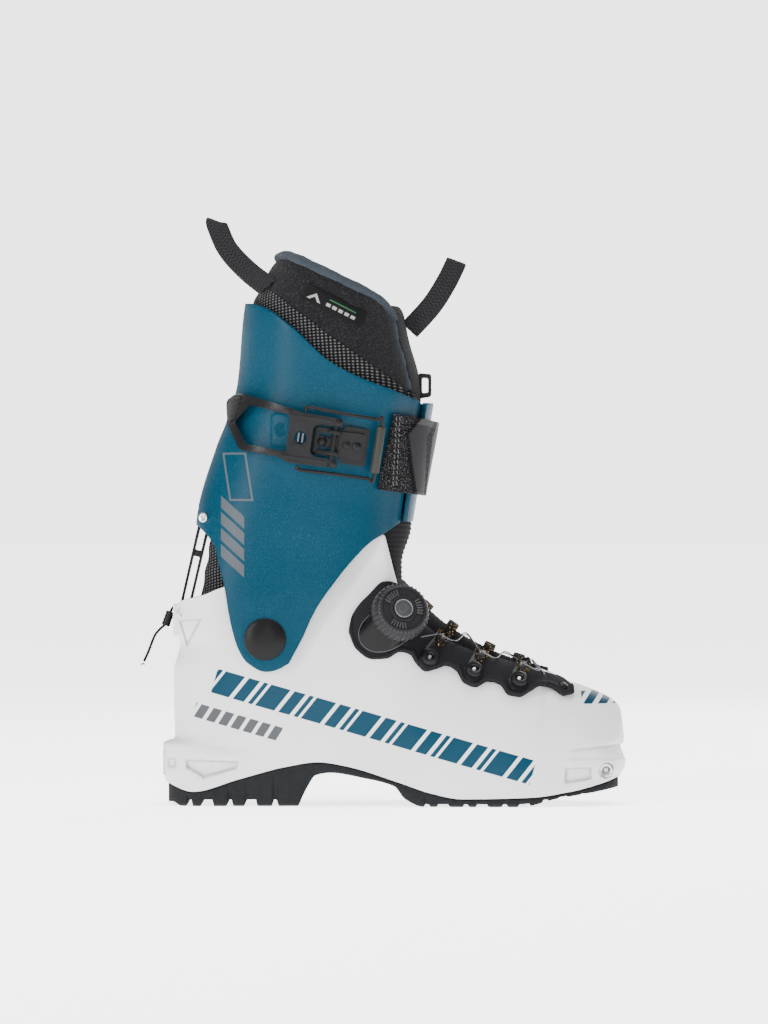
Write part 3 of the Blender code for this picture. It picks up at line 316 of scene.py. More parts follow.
def pull_cord():
    finish = braid_finish("cord_braid", (0.004, 0.004, 0.0045), (0.022, 0.022, 0.023))
    path = smooth_path(CORD_ROUTE, 4)
    cord = tube("pull_cord_braid", path, CORD_RADIUS, finish)
    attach(cord, "lock_bar")
    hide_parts("pull_cord")
    length_of(path)


pull_cord()


# ================================================================ lower shell
# The white moulded shell: a thick closed clog, open over the throat and at the ankle, slotted at the rear for
# the lock bar. Moulded recesses lighten its heel and toe, and printed bars run along both sides.
def smoothstep(low, high, value):
    t = min(1.0, max(0.0, (value - low) / (high - low)))
    return t * t * (3 - 2 * t)


def spread(start, end, count):
    return [mix(start, end, k / count) for k in range(count + 1)]


def through(points):
    """A smooth function through points (number, value) in millimetres, flat beyond its ends."""
    xs = [p[0] * MM for p in points]
    ys = [p[1] * MM for p in points]
    secants = [(ys[i + 1] - ys[i]) / (xs[i + 1] - xs[i]) for i in range(len(xs) - 1)]
    slopes = [secants[0]]
    for before, after in zip(secants, secants[1:]):
        slopes.append(0.0 if before * after <= 0 else 2 * before * after / (before + after))
    slopes.append(secants[-1])

    def value(x):
        if x <= xs[0]:
            return ys[0]
        if x >= xs[-1]:
            return ys[-1]
        i = bisect.bisect_right(xs, x) - 1
        span = xs[i + 1] - xs[i]
        t = (x - xs[i]) / span
        rise = (1 + 2 * t) * (1 - t) ** 2 * ys[i] + t * t * (3 - 2 * t) * ys[i + 1]
        lean = t * (1 - t) ** 2 * slopes[i] - t * t * (1 - t) * slopes[i + 1]
        return rise + span * lean

    return value


def stitch(bm, rings, cap_first=False, cap_last=False):
    """Quads between closed rings of equally many points, and across the first or last of them."""
    rows = [[bm.verts.new(p) for p in ring] for ring in rings]
    count = len(rows[0])
    for low, high in zip(rows, rows[1:]):
        for k in range(count):
            m = (k + 1) % count
            bm.faces.new((low[k], low[m], high[m], high[k]))
    for wanted, row in ((cap_first, rows[0]), (cap_last, rows[-1])):
        if wanted:
            bm.faces.new((row[0], row[1], row[-1]))
            for k in range(1, count // 2 - 1):
                bm.faces.new((row[k], row[k + 1], row[-k - 1], row[-k]))
            bm.faces.new((row[count // 2 - 1], row[count // 2], row[count // 2 + 1]))
    return rows


def piece(name, bm, finish, body, nodes=(), slot=None, bevel=0.0, sharp=40, blend=None):
    """One visible piece from a closed bmesh: its finish, the body it rides on and the nodes it stands for."""
    bmesh.ops.remove_doubles(bm, verts=bm.verts, dist=0.000005)
    loose = [v for v in bm.verts if not v.link_faces]
    bmesh.ops.delete(bm, geom=loose, context="VERTS")
    bmesh.ops.recalc_face_normals(bm, faces=bm.faces)
    if bm.calc_volume(signed=True) < 0:
        bmesh.ops.reverse_faces(bm, faces=bm.faces)
    mesh = bpy.data.meshes.new(name)
    bm.to_mesh(mesh)
    bm.free()
    mesh.shade_smooth()
    made = link(name, mesh, finish)
    if bevel:
        rounding = made.modifiers.new("rounded_edges", "BEVEL")
        rounding.width = bevel
        rounding.segments = 3
        rounding.angle_limit = math.radians(sharp)
        rounding.harden_normals = False
        settle(made)
    else:
        made.data.set_sharp_from_angle(angle=math.radians(sharp))
    if blend:
        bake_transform(made)
    elif body:
        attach(made, body)
    if nodes:
        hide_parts(*nodes)
    return made


def settle(made):
    """Applies a piece's modifiers to its mesh."""
    bpy.context.view_layer.update()
    evaluated = made.evaluated_get(bpy.context.evaluated_depsgraph_get())
    made.data = bpy.data.meshes.new_from_object(evaluated)
    made.modifiers.clear()
    made.data.name = made.name


def carve(made, bm, operation="DIFFERENCE"):
    """Cuts a closed bmesh out of a piece, or joins it on."""
    bmesh.ops.recalc_face_normals(bm, faces=bm.faces)
    mesh = bpy.data.meshes.new("cutter")
    bm.to_mesh(mesh)
    bm.free()
    cutter = bpy.data.objects.new("cutter", mesh)
    bpy.context.scene.collection.objects.link(cutter)
    boolean = made.modifiers.new("cut", "BOOLEAN")
    boolean.operation = operation
    boolean.object = cutter
    settle(made)
    bpy.data.objects.remove(cutter)
    bpy.data.meshes.remove(mesh)


def box(centre, size, turn=None, bm=None):
    bm = bm or bmesh.new()
    corners = bmesh.ops.create_cube(bm, size=1)["verts"]
    place = Matrix.Translation(Vector(centre)) @ (turn or Matrix.Identity(4))
    bmesh.ops.transform(bm, matrix=place @ Matrix.Diagonal((*size, 1)), verts=corners)
    return bm


def rod(start, end, radius, sides=32):
    start, end = Vector(start), Vector(end)
    axis = end - start
    bm = bmesh.new()
    made = bmesh.ops.create_cone(
        bm, cap_ends=True, segments=sides, radius1=radius, radius2=radius, depth=axis.length,
    )["verts"]
    turn = Vector((0, 0, 1)).rotation_difference(axis).to_matrix().to_4x4()
    bmesh.ops.transform(bm, matrix=Matrix.Translation((start + end) / 2) @ turn, verts=made)
    return bm


SOLE_LINE = through([
    (-63, 14.9), (-44.9, 9.1), (-16.9, 16.6), (14.3, 24.7), (32.8, 27.3), (50.5, 24.7),
    (83.4, 14.7), (102.6, 8.4), (121.6, 5), (164.7, 5.9), (188.7, 9.3), (207.8, 14.1), (221.2, 18.4),
])
SHELL_TOP = through([
    (-58.3, 122.2), (-53.1, 126.8), (-40.7, 129.9), (-26.2, 135.6), (0, 142), (40, 158), (64, 168),
    (73, 168.6), (77, 155), (82, 137), (90, 120), (100, 109), (116, 99.5), (132, 93.5), (158, 86),
    (172, 84.4), (189, 76.6), (197.2, 74.1), (209.5, 69), (217.4, 64.5), (221.2, 59), (223, 50),
])
BASE_WIDTH = through([
    (-63, 37), (-20, 34), (20, 33), (60, 38), (120, 47), (150, 47.5), (185, 41), (205, 36), (222, 32),
])
TOP_WIDTH = through([
    (-58, 30), (-40, 34), (0, 38.5), (45, 35.5), (74, 30), (86, 25), (100, 20.5), (140, 16.5),
    (160, 13.5), (168, 9), (173, 0),
])
BULGE = through([(-60, 0), (-30, 2), (0, 6.5), (30, 5), (60, 2), (100, 2.5), (160, 1), (200, 0)])
HEEL_LINE = through([
    (14.9, -63), (21.6, -64.6), (38, -64.6), (42.5, -57.2), (64, -57.8), (85, -57.6), (100, -54.4),
    (111, -58.6), (122, -58.3),
])
TOE_LINE = through([
    (18.4, 221.2), (24, 223.6), (31, 224.4), (36, 221.2), (42, 222.6), (51, 223.3), (59, 221.4),
])
SHELL_WALL = 3.0 * MM
SHELL_ROWS = 90
SHELL_COLUMNS = 230
HEEL_END = -63 * MM
TOE_END = 221 * MM
RECESSES = (
    (3.0, ((-49.1, 28.9), (-16.9, 27.8), (-17.9, 23.4), (-38.3, 18.0), (-49.1, 24.4))),
    (1.6, ((-60.9, 23.7), (-55.8, 23.7), (-55.8, 29.4), (-60.9, 29.4))),
    (2.4, ((-54.2, 114.9), (-39.7, 115.9), (-49.1, 98.4))),
    (2.4, ((185.3, 14.5), (201.6, 17.0), (201.6, 24.1), (185.3, 24.1))),
)


def depth_inside(corners, x, z):
    """How far a place lies inside a convex outline, in millimetres; negative outside it."""
    turn = sum(a[0] * b[1] - b[0] * a[1] for a, b in zip(corners, corners[1:] + corners[:1]))
    deepest = []
    for a, b in zip(corners, corners[1:] + corners[:1]):
        run = math.hypot(b[0] - a[0], b[1] - a[1])
        across = ((b[0] - a[0]) * (z - a[1]) - (b[1] - a[1]) * (x - a[0])) / run
        deepest.append(across if turn > 0 else -across)
    return min(deepest)


def moulding(x, z):
    """The relief of the shell's side in metres: recesses, the toe's and heel's ledges, the insert's boss."""
    x, z = x / MM, z / MM
    relief = 0.0
    for depth, corners in RECESSES:
        relief -= depth * smoothstep(-0.1, 1.1, depth_inside(corners, x, z))
    relief += 1.3 * smoothstep(185, 190, x) * (1 - smoothstep(28.4, 30.2, z))
    groove = z - mix(35.3, 38, (x - 192.5) / 28)
    relief -= 2.0 * smoothstep(188, 193, x) * max(0.0, 1 - (groove / 1.3) ** 2)
    ledge = mix(39.7, 32.8, (x + 64) / 53)
    relief += 1.5 * (1 - smoothstep(-34, 6, x)) * (1 - smoothstep(ledge - 0.9, ledge + 0.7, z))
    boss = math.hypot(x - TOE_INSERT.x / MM, z - TOE_INSERT.z / MM)
    relief += 0.7 * (1 - smoothstep(6.0, 7.4, boss))
    relief -= 4.5 * (1 - smoothstep(4.2, 4.7, boss))
    return relief * MM


def end_rounding(x, z):
    from_heel = min(1.0, max(0.0, (x - HEEL_LINE(z)) / (30 * MM)))
    toe_length = mix(24 * MM, 40 * MM, smoothstep(34 * MM, 56 * MM, z))
    from_toe = min(1.0, max(0.0, (TOE_LINE(z) - x) / toe_length))
    return math.sqrt(max(0.0, 1 - (1 - from_heel) ** 2.6)) * math.sqrt(max(0.0, 1 - (1 - from_toe) ** 2.3))


def shell_half_width(x, z):
    """Half the shell's width at a place on its side."""
    v = min(1.0, max(0.0, (z - SOLE_LINE(x)) / (SHELL_TOP(x) - SOLE_LINE(x))))
    arch = math.sqrt(max(0.0, 1 - v ** 2.6))
    fade = mix(1 - v, arch, smoothstep(20 * MM, 85 * MM, x))
    width = mix(TOP_WIDTH(x), BASE_WIDTH(x), fade) + BULGE(x) * math.sin(math.pi * min(1, v * 1.15)) ** 0.8
    return width * end_rounding(x, z)


def shell_column(k, v):
    share = (1 - math.cos(math.pi * k / SHELL_COLUMNS)) / 2
    heel_z = mix(SOLE_LINE(HEEL_END), SHELL_TOP(-58 * MM), v)
    toe_z = mix(SOLE_LINE(TOE_END), SHELL_TOP(TOE_END), v)
    x = mix(HEEL_LINE(heel_z), TOE_LINE(toe_z), share)
    z = mix(SOLE_LINE(x), SHELL_TOP(x), v)
    return x, z, shell_half_width(x, z) if 0 < k < SHELL_COLUMNS else 0.0


def ring_of(half):
    """A closed ring from half of it, places (x, half width, z) from the heel to the toe."""
    outer = [Vector((x, -y, z)) for x, y, z in half]
    inner = [Vector((x, y, z)) for x, y, z in half[-2:0:-1]]
    return outer + inner


def shell_place(x, z, lift=0.0, side=-1):
    """A point on the shell's side and the direction out of the surface there."""
    step = MM
    slope_x = (shell_half_width(x + step, z) - shell_half_width(x - step, z)) / (2 * step)
    slope_z = (shell_half_width(x, z + step) - shell_half_width(x, z - step)) / (2 * step)
    out = Vector((-slope_x, side, -slope_z)).normalized()
    return Vector((x, side * shell_half_width(x, z), z)) + out * lift, out


def shell_rings():
    outer, inner = [], []
    for row in range(SHELL_ROWS + 1):
        v = 1 - (1 - row / SHELL_ROWS) ** 1.7
        half = []
        for k in range(SHELL_COLUMNS + 1):
            x, z, width = shell_column(k, v)
            half.append((x, max(0.0, width + moulding(x, z)) if width > 2 * MM else width, z))
        outer.append(ring_of(half))
    for v in (0.0, 0.25, 0.5, 0.7, 0.85, 0.94, 1.0):
        half = []
        for k in range(SHELL_COLUMNS + 1):
            outer_x, outer_z, width = shell_column(k, v)
            share = (outer_x - HEEL_LINE(outer_z)) / (TOE_LINE(outer_z) - HEEL_LINE(outer_z))
            x = outer_x + SHELL_WALL * (1 - 2 * share)
            roof = SHELL_WALL * smoothstep(158 * MM, 174 * MM, outer_x)
            z = mix(SOLE_LINE(outer_x) + SHELL_WALL, SHELL_TOP(outer_x) - roof, v)
            half.append((x, max(0.0, width - SHELL_WALL), z))
        inner.append(ring_of(half))
    return outer, inner


def printed_bars(along, across, period, bars, slant):
    """Slanted bars in repeating groups: 1 on a bar; bars are (start, end) within each period."""
    run = (along + across * slant) / period
    spot = (run - run.floor()) * period
    total = None
    for start, end in bars:
        bar = spot.within(start, end, 0.35)
        total = bar if total is None else total + bar
    return total


def recess_edge_shade(x, z):
    """1 along the sharp edges of the moulded recesses: painted shade, standing in for the shadow that falls in
    their corners.
    """
    edges = None
    for _, corners in RECESSES:
        middle_x = sum(corner[0] for corner in corners) / len(corners)
        middle_z = sum(corner[1] for corner in corners) / len(corners)
        inside = None
        for a, b in zip(corners, corners[1:] + corners[:1]):
            run = math.hypot(b[0] - a[0], b[1] - a[1])
            lean_x, lean_z = -(b[1] - a[1]) / run, (b[0] - a[0]) / run
            if lean_x * (middle_x - a[0]) + lean_z * (middle_z - a[1]) < 0:
                lean_x, lean_z = -lean_x, -lean_z
            across = x * lean_x + z * lean_z - (a[0] * lean_x + a[1] * lean_z)
            inside = across if inside is None else across.math("MINIMUM", inside, across)
        edge = 1 - (inside - 0.4).abs().above(0.7, 0.9)
        edges = edge if edges is None else edges + edge
    return edges


def shell_finish():
    made = Finish("shell_plastic_print", Specular_IOR_Level=0.12)
    whole, x, y, z = made.place()
    along = (x + 34.7) * 0.961 - (z - 70.9) * 0.277
    across = (x + 34.7) * 0.277 + (z - 70.9) * 0.961
    side = y.abs().above(12, 3)
    band = along.within(1, 206, 0.35) * across.within(0, 15.3, 0.35)
    wide = printed_bars(along, across * -1, 29.3, ((0, 12.5), (15.0, 22.2), (24.7, 27.6)), 0.42)
    blue = band * wide * side
    small = along.within(-6, 50, 0.3) * across.within(-17.5, -8.6, 0.3)
    hatch = printed_bars(along, across * -1, 7.9, ((0, 5.6),), 0.3)
    grey = small * hatch * side
    toe = printed_bars(x - 197, z * -1, 9.5, ((0, 6.0),), 0.75)
    toe = toe * x.within(196, 218, 0.4) * z.within(63, 71, 0.4) * y.below(0, 1) * y.above(-22, 1)
    cloud = made.noise(whole, 0.012, 2.0)
    base = made.blend(cloud, (0.575, 0.58, 0.59), (0.635, 0.635, 0.645))
    grime = made.noise(whole, 0.35, 4.0).above(0.68, 0.12) * z.below(26, 12)
    base = made.blend(grime * 0.25, base, (0.30, 0.30, 0.30))
    # Painted shade: the base colour darkens along the recess edges, where shadow would fall.
    base = made.blend(recess_edge_shade(x, z) * side * 0.5, base, (0.16, 0.16, 0.165))
    base = made.blend(blue, base, (0.0008, 0.027, 0.050))
    base = made.blend(grey, base, (0.050, 0.054, 0.060))
    base = made.blend(toe, base, (0.0008, 0.027, 0.050))
    grain = made.noise(whole, 2.2, 3.0)
    rough = made.noise(whole, 0.08, 3.0) * 0.16 + 0.30 - (blue + grey) * 0.08
    return made.finish(base, rough, height=grain, depth=0.05 * MM, strength=0.6)


TOE_INSERT = Vector((211.1, 0, 22.2)) * MM


def lower_shell():
    outer, inner = shell_rings()
    bm = bmesh.new()
    for rings in (outer, inner):
        stitch(bm, rings, cap_first=True)
    count = len(outer[-1])
    top_outer = [bm.verts.new(p) for p in outer[-1]]
    top_inner = [bm.verts.new(p) for p in inner[-1]]
    for k in range(count):
        m = (k + 1) % count
        if max(abs(outer[-1][k].y), abs(outer[-1][m].y)) > 0.01 * MM or outer[-1][k].x < 0:
            bm.faces.new((top_outer[k], top_outer[m], top_inner[m], top_inner[k]))
    made = piece("shell_moulding", bm, shell_finish(), "shell", ("lower_shell",), "shell_plastic", sharp=46)
    carve(made, box((-52.3 * MM, 0, 115 * MM), (11 * MM, 33 * MM, 19 * MM)), "UNION")
    carve(made, box((-62 * MM, 0, 115 * MM), (40 * MM, 15 * MM, 56 * MM)))
    carve(made, box((-63 * MM, 0, 27 * MM), (9 * MM, 30 * MM, 16 * MM)))
    made.data.shade_smooth()
    made.data.set_sharp_from_angle(angle=math.radians(46))


lower_shell()


# ================================================================ outsole
# The rubber outsole: heel and forefoot treads of angled lugs with a bare arch between them.
def outsole():
    made = Finish("sole_rubber_cast", Roughness=0.75)
    whole, _, _, z = made.place()
    dust = made.noise(whole, 0.5, 4.0)
    worn = z.below(1.2, 1.0) * dust
    colour = made.blend(dust, (0.007, 0.0078, 0.0088), (0.015, 0.0158, 0.017))
    colour = made.blend(worn * 0.5, colour, (0.06, 0.06, 0.06))
    finish = made.finish(colour, dust * 0.25 + 0.6, height=made.noise(whole, 3.0, 3.0), depth=0.12 * MM)
    tread = through([
        (-57, 2.4), (-52, 0), (20, 0), (23, 6), (26.7, 13), (31, 19), (40.1, 20.6), (60.9, 17.4),
        (79.5, 12.6), (86.6, 4.6), (98, 0), (158, 0), (179, 4.6), (203, 8.6), (220, 11.6),
    ])
    gaps = ((-47, 3), (-36, 7), (-22, 3), (-9, 7), (6, 3), (100, 3), (110, 7), (124, 3), (134, 7), (148, 3),
            (160, 7), (173, 3), (184, 5), (197, 4))

    def gap_share(at_x):
        return max(
            1 - smoothstep(wide / 2 - 0.6, wide / 2 + 0.6, abs(at_x / MM - place)) for place, wide in gaps
        )

    rings = []
    columns = 420
    for drop in (0.0, 0.35, 0.6, 0.85, 0.97, 1.0):
        half = []
        for k in range(columns + 1):
            share = (1 - math.cos(math.pi * k / columns)) / 2
            at_x = mix(-61 * MM, 219.6 * MM, mix(share, k / columns, 0.6))
            top = SOLE_LINE(at_x) - 0.8 * MM
            carved = gap_share(at_x)
            notch = mix(4.0, 1.7, smoothstep(60 * MM, 95 * MM, at_x)) * MM * carved
            low = min(tread(at_x) + notch * (1 - smoothstep(3 * MM, 9 * MM, tread(at_x))), top - 1.5 * MM)
            skirt = 0.5 * MM * math.sin(math.pi * drop) - 1.1 * MM * carved * smoothstep(0.3, 0.6, drop)
            skirt -= 0.9 * MM * smoothstep(0.9, 1.0, drop)
            width = (BASE_WIDTH(at_x) - 1.0 * MM + skirt) * end_rounding(at_x, 16 * MM)
            half.append((at_x, width if 0 < k < columns else 0.0, mix(top, low, drop)))
        rings.append(ring_of(half))
    bm = bmesh.new()
    stitch(bm, rings, cap_first=True, cap_last=True)
    piece("outsole_rubber", bm, finish, "shell", ("outsole",), "sole_rubber", sharp=50)


outsole()


# ================================================================ binding inserts
# Bright steel pin sockets: a pair in the toe, each a ring round a conical socket, and the heel's slotted plate.
def steel(name, colour=(0.55, 0.56, 0.58), roughness=0.28):
    made = Finish(name, Metallic=1.0)
    whole, *_ = made.place()
    brush = made.noise(whole, 1.6, 4.0)
    return made.finish(
        made.blend(brush, tuple(c * 0.75 for c in colour), colour), brush * 0.2 + roughness - 0.1,
        height=brush, depth=0.02 * MM,
    )


def turned(name, profile, base, axis, finish, body, nodes=(), slot=None, steps=56, bm=None):
    """A turned piece: profile points (radius, height) in millimetres, from the axis round to the axis."""
    made = bm or bmesh.new()
    turn = Vector((0, 0, 1)).rotation_difference(Vector(axis)).to_matrix().to_4x4()
    place = Matrix.Translation(Vector(base)) @ turn
    rings = []
    for radius, height in profile:
        count = 1 if radius == 0 else steps
        rings.append([
            made.verts.new(place @ (Vector((radius * math.cos(a), radius * math.sin(a), height)) * MM))
            for a in (2 * math.pi * k / steps for k in range(count))
        ])
    for low, high in zip(rings, rings[1:]):
        for k in range(steps):
            m = (k + 1) % steps
            corners = [low[k % len(low)], low[m % len(low)], high[m % len(high)], high[k % len(high)]]
            corners = list(dict.fromkeys(corners))
            if len(corners) > 2:
                made.faces.new(corners)
    if bm:
        return None
    return piece(name, made, finish, body, nodes, slot, sharp=32)


STEEL = steel("bright_steel")
GUN_METAL = steel("gun_metal", (0.10, 0.10, 0.11), 0.45)


def inserts():
    for side, word in ((-1, "lateral"), (1, "medial")):
        back = Vector((TOE_INSERT.x, side * 26 * MM, TOE_INSERT.z))
        profile = [
            (0, 3), (1.0, 3), (2.4, 5.6), (2.7, 6.1), (3.1, 6.3), (3.8, 6.3), (4.3, 5.9), (4.3, 0), (0, 0),
        ]
        nodes = (f"toe_insert_{word}",)
        turned(f"toe_socket_{word}", profile, back, (0, side, 0), STEEL, "shell", nodes, "steel")
    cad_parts["heel_insert"].data.materials.clear()
    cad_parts["heel_insert"].data.materials.append(STEEL)


inserts()


# ================================================================ lace panels
# Black reinforced textile flanges either side of the throat, scalloped along the lower edge, with a raised
# welded border and a finely woven face.
CREST = through([
    (80, 140), (85.9, 136), (100.3, 121), (124.9, 103.5), (148.4, 92.2), (168, 86.5), (178, 84),
])
SCALLOP = through([
    (51.4, 107.8), (55.8, 97.8), (66.9, 91), (75.5, 91.6), (82.8, 95.3), (89.1, 93.5), (92.8, 87.9),
    (99, 83), (105.2, 84.3), (111.4, 86.1), (117.6, 83), (122.5, 75.6), (129.9, 73.1), (137.2, 76.2),
    (144.7, 74.3), (149.7, 68.2), (157.1, 66.9), (163.3, 70), (169.4, 73.1), (176.9, 71.3),
    (184.3, 66.9), (191.1, 68.2),
])
PANEL_TOP = through([
    (51.4, 108.6), (53.3, 117.6), (64.4, 131.2), (74, 139), (80, 137), (90, 119), (100, 107.6),
    (116, 98), (132, 92), (158, 84.6), (172, 80.5), (184, 76), (191.1, 70.5),
])
PANEL_TOP_LIFT = 3.4 * MM


def grid_solid(tops, unders):
    """A closed slab between two equal grids of points; its UV map holds real lengths along and across it."""
    bm = bmesh.new()
    layer = bm.loops.layers.uv.new("run")
    rows, columns = len(tops), len(tops[0])
    middle_column, middle_row = columns // 2, rows // 2
    along, across = [0.0], [0.0]
    for i in range(rows - 1):
        run = Vector(tops[i + 1][middle_column]) - Vector(tops[i][middle_column])
        along.append(along[-1] + run.length)
    for j in range(columns - 1):
        across.append(across[-1] + (Vector(tops[middle_row][j + 1]) - Vector(tops[middle_row][j])).length)
    spot = {}
    grids = []
    for points in (tops, unders):
        grid = []
        for i, row in enumerate(points):
            grid.append([])
            for j, point in enumerate(row):
                corner = bm.verts.new(point)
                spot[corner] = (along[i], across[j])
                grid[-1].append(corner)
        grids.append(grid)
    top, under = grids
    for i in range(rows - 1):
        for j in range(columns - 1):
            for grid in grids:
                bm.faces.new((grid[i][j], grid[i + 1][j], grid[i + 1][j + 1], grid[i][j + 1]))
        for j in (0, columns - 1):
            bm.faces.new((top[i][j], top[i + 1][j], under[i + 1][j], under[i][j]))
    for j in range(columns - 1):
        for i in (0, rows - 1):
            bm.faces.new((top[i][j], top[i][j + 1], under[i][j + 1], under[i][j]))
    for face in bm.faces:
        for loop in face.loops:
            loop[layer].uv = spot[loop.vert]
    return bm


def woven(name, dark, light, pitch, depth, uv=True, sheen=0.0):
    """Cloth of crossing threads at this pitch in millimetres."""
    made = Finish(name, Sheen_Weight=sheen, Sheen_Roughness=0.5)
    if uv:
        whole, u, v = made.surface()
    else:
        whole, x, y, z = made.place()
        u, v = x + y * 0.3, z + y * 0.3
    warp = (u * (math.pi / pitch)).sine()
    weft = (v * (math.pi / pitch)).sine()
    weave = warp * weft * 0.5 + 0.5
    fuzz = made.noise(whole, 1.4, 4.0)
    colour = made.blend(weave * 0.6 + fuzz * 0.4, dark, light)
    return made.finish(colour, fuzz * 0.2 + 0.8, height=weave * 0.7 + fuzz * 0.3, depth=depth * MM)


def panel_finish():
    made = Finish("panel_textile")
    whole, u, v = made.surface()
    twill = ((u + v) * 3.4).sine() * 0.5 + 0.5
    fuzz = made.noise(whole, 0.9, 4.0)
    colour = made.blend(twill * 0.5 + fuzz * 0.5, (0.0045, 0.0045, 0.0055), (0.013, 0.013, 0.015))
    return made.finish(colour, fuzz * 0.25 + 0.52, height=twill * 0.5 + fuzz * 0.5, depth=0.14 * MM)


def lace_panels():
    finish = panel_finish()
    for side, word in ((-1, "lateral"), (1, "medial")):
        tops, unders = [], []
        for x in spread(51.6 * MM, 190.8 * MM, 200):
            low, high = SCALLOP(x), PANEL_TOP(x)
            tall = max(high - low, 0.5 * MM)
            slope = math.hypot(1, (SCALLOP(x + 0.5 * MM) - SCALLOP(x - 0.5 * MM)) / MM)
            row_top, row_under = [], []
            for share in (
                0, 0.01, 0.03, 0.06, 0.09, 0.12, 0.16, 0.2, 0.26, 0.34, 0.44, 0.56, 0.7, 0.85, 0.96, 1.0,
            ):
                z = mix(low, low + tall, share)
                edge = min((z - low) / slope, x - 51.6 * MM + 0.2 * MM, 191.0 * MM - x) / MM
                rim = 1.0 * max(0.0, 1 - ((edge - 1.5) / 1.3) ** 2)
                round_off = 0.9 * (1 - min(1.0, max(edge, 0) / 0.7)) ** 2
                row_top.append(shell_place(x, z, PANEL_TOP_LIFT + (rim - round_off) * MM, side)[0])
                row_under.append(shell_place(x, z, PANEL_TOP_LIFT - 1.6 * MM, side)[0])
            tops.append(row_top)
            unders.append(row_under)
        bm = grid_solid(tops, unders)
        piece(f"panel_{word}", bm, finish, "shell", (f"lace_panel_{word}",), "black_plastic", sharp=60)


lace_panels()


# ================================================================ instep gaiter
# Black ribbed stretch cloth that closes the throat under the lace; its neck is modelled with small folds.
def gaiter():
    cloth = woven("gaiter_cloth", (0.0035, 0.0035, 0.004), (0.014, 0.014, 0.0155), 0.55, 0.10, sheen=0.03)
    tops, unders = [], []
    for x in spread(80 * MM, 176 * MM, 230):
        edge = max(shell_half_width(x, SHELL_TOP(x)) - SHELL_WALL - 1.2 * MM, 5 * MM)
        rib = 0.12 * MM * math.sin(2 * math.pi * x / (2.6 * MM))
        row_top, row_under = [], []
        for angle in spread(-math.pi / 2, math.pi / 2, 26):
            y = edge * math.sin(angle)
            base = SHELL_TOP(x) - 5.5 * MM
            proud = mix(3.6, 0.8, smoothstep(84 * MM, 112 * MM, x)) * MM
            height = mix(base, CREST(x) + proud, max(0.0, math.cos(angle)) ** 0.75) + rib * math.cos(angle)
            row_top.append(Vector((x, y, height)))
            row_under.append(Vector((x, y * 0.94, height - 1.6 * MM)))
        tops.append(row_top)
        unders.append(row_under)
    ribbed = grid_solid(tops, unders)
    piece("gaiter_ribbed", ribbed, cloth, "shell", ("instep_gaiter",), "gaiter_textile", sharp=70)
    tops, unders = [], []
    for z in spread(134 * MM, 181 * MM, 110):
        share = (z - 134 * MM) / (47 * MM)
        fold = 0.14 * MM * math.sin(2 * math.pi * z / (3.0 * MM))
        front = mix(84.6 * MM, 90.5 * MM, smoothstep(0.35, 0.85, share)) + fold
        row_top, row_under = [], []
        for angle in spread(-1.35, 1.35, 36):
            for row, thick in ((row_top, 0.0), (row_under, 1.8 * MM)):
                reach = 26 * MM + fold - thick
                row.append(Vector((front - 25 * MM + (reach - 1 * MM) * math.cos(angle), 29 * MM * math.sin(angle)
                                   * (reach / (26 * MM)), z)))
        tops.append(row_top)
        unders.append(row_under)
    piece(
        "gaiter_folds", grid_solid(tops, unders), cloth, None, ("gaiter_neck",), "gaiter_textile", sharp=70,
        blend=("shell", "cuff", (0.070, 0, 0.146), (0.082, 0, 0.178)),
    )


gaiter()


# ================================================================ lace hardware
# Three ringed eyelets on teardrop holders each side, woven loops and crest guides flecked with bright thread,
# and the thin steel lace that runs from the dial through them all.
EYELETS = ((100.3, 90.4), (128.1, 81.8), (155.8, 75.6))
LACE_LOOPS = ((107, 100.9), (132.4, 90.4), (158.3, 83.0))
CREST_GUIDES = ((99, 125), (115.1, 112.5), (138.4, 98.5), (157, 91.0))


PAD_STEPS = (0.4, 0.75, 0.93, 1.0)


def denser(outline):
    """The same outline with a point halfway along each side."""
    return [
        (mix(a[0], b[0], share), mix(a[1], b[1], share))
        for a, b in zip(outline, outline[1:] + outline[:1]) for share in (0, 0.5)
    ]


def surface_pad(place, outline, lift, wall):
    """A rounded plate on a curved surface; place(x, z, lift) gives its points."""
    count = len(outline)
    middle = (sum(p[0] for p in outline) / count, sum(p[1] for p in outline) / count)
    bm = bmesh.new()
    profile = [(s, lift + wall - wall * 0.35 * max(0.0, (s - 0.8) / 0.2) ** 2) for s in PAD_STEPS]
    profile.append((1.0, lift))
    centre = bm.verts.new(place(*middle, lift + wall))
    foot = bm.verts.new(place(*middle, lift))
    rows = []
    for share, height in profile:
        rows.append([
            bm.verts.new(place(mix(middle[0], x, share), mix(middle[1], z, share), height)) for x, z in outline
        ])
    for k in range(count):
        m = (k + 1) % count
        bm.faces.new((centre, rows[0][k], rows[0][m]))
        for low, high in zip(rows, rows[1:]):
            bm.faces.new((low[k], low[m], high[m], high[k]))
        bm.faces.new((rows[-1][k], rows[-1][m], foot))
    return bm


def merge(*meshes):
    """Several bmeshes as one."""
    whole = meshes[0]
    for other in meshes[1:]:
        part = bpy.data.meshes.new("part")
        other.to_mesh(part)
        other.free()
        whole.from_mesh(part)
        bpy.data.meshes.remove(part)
    return whole


def moulded(name, dark, light, roughness=0.4):
    """Moulded plastic with a fine grain and slightly uneven gloss."""
    made = Finish(name, Specular_IOR_Level=0.12)
    whole, *_ = made.place()
    cloud = made.noise(whole, 0.06, 3.0)
    fine = made.noise(whole, 2.5, 3.0)
    return made.finish(
        made.blend(cloud * 0.5 + fine * 0.5, dark, light), cloud * 0.14 + (roughness - 0.07),
        height=fine, depth=0.05 * MM, strength=0.5,
    )


BLACK_PLASTIC = moulded("black_moulding", (0.0035, 0.0035, 0.004), (0.008, 0.008, 0.009))
DARK_METAL = moulded("black_anodised", (0.0035, 0.0035, 0.004), (0.008, 0.008, 0.009), roughness=0.3)


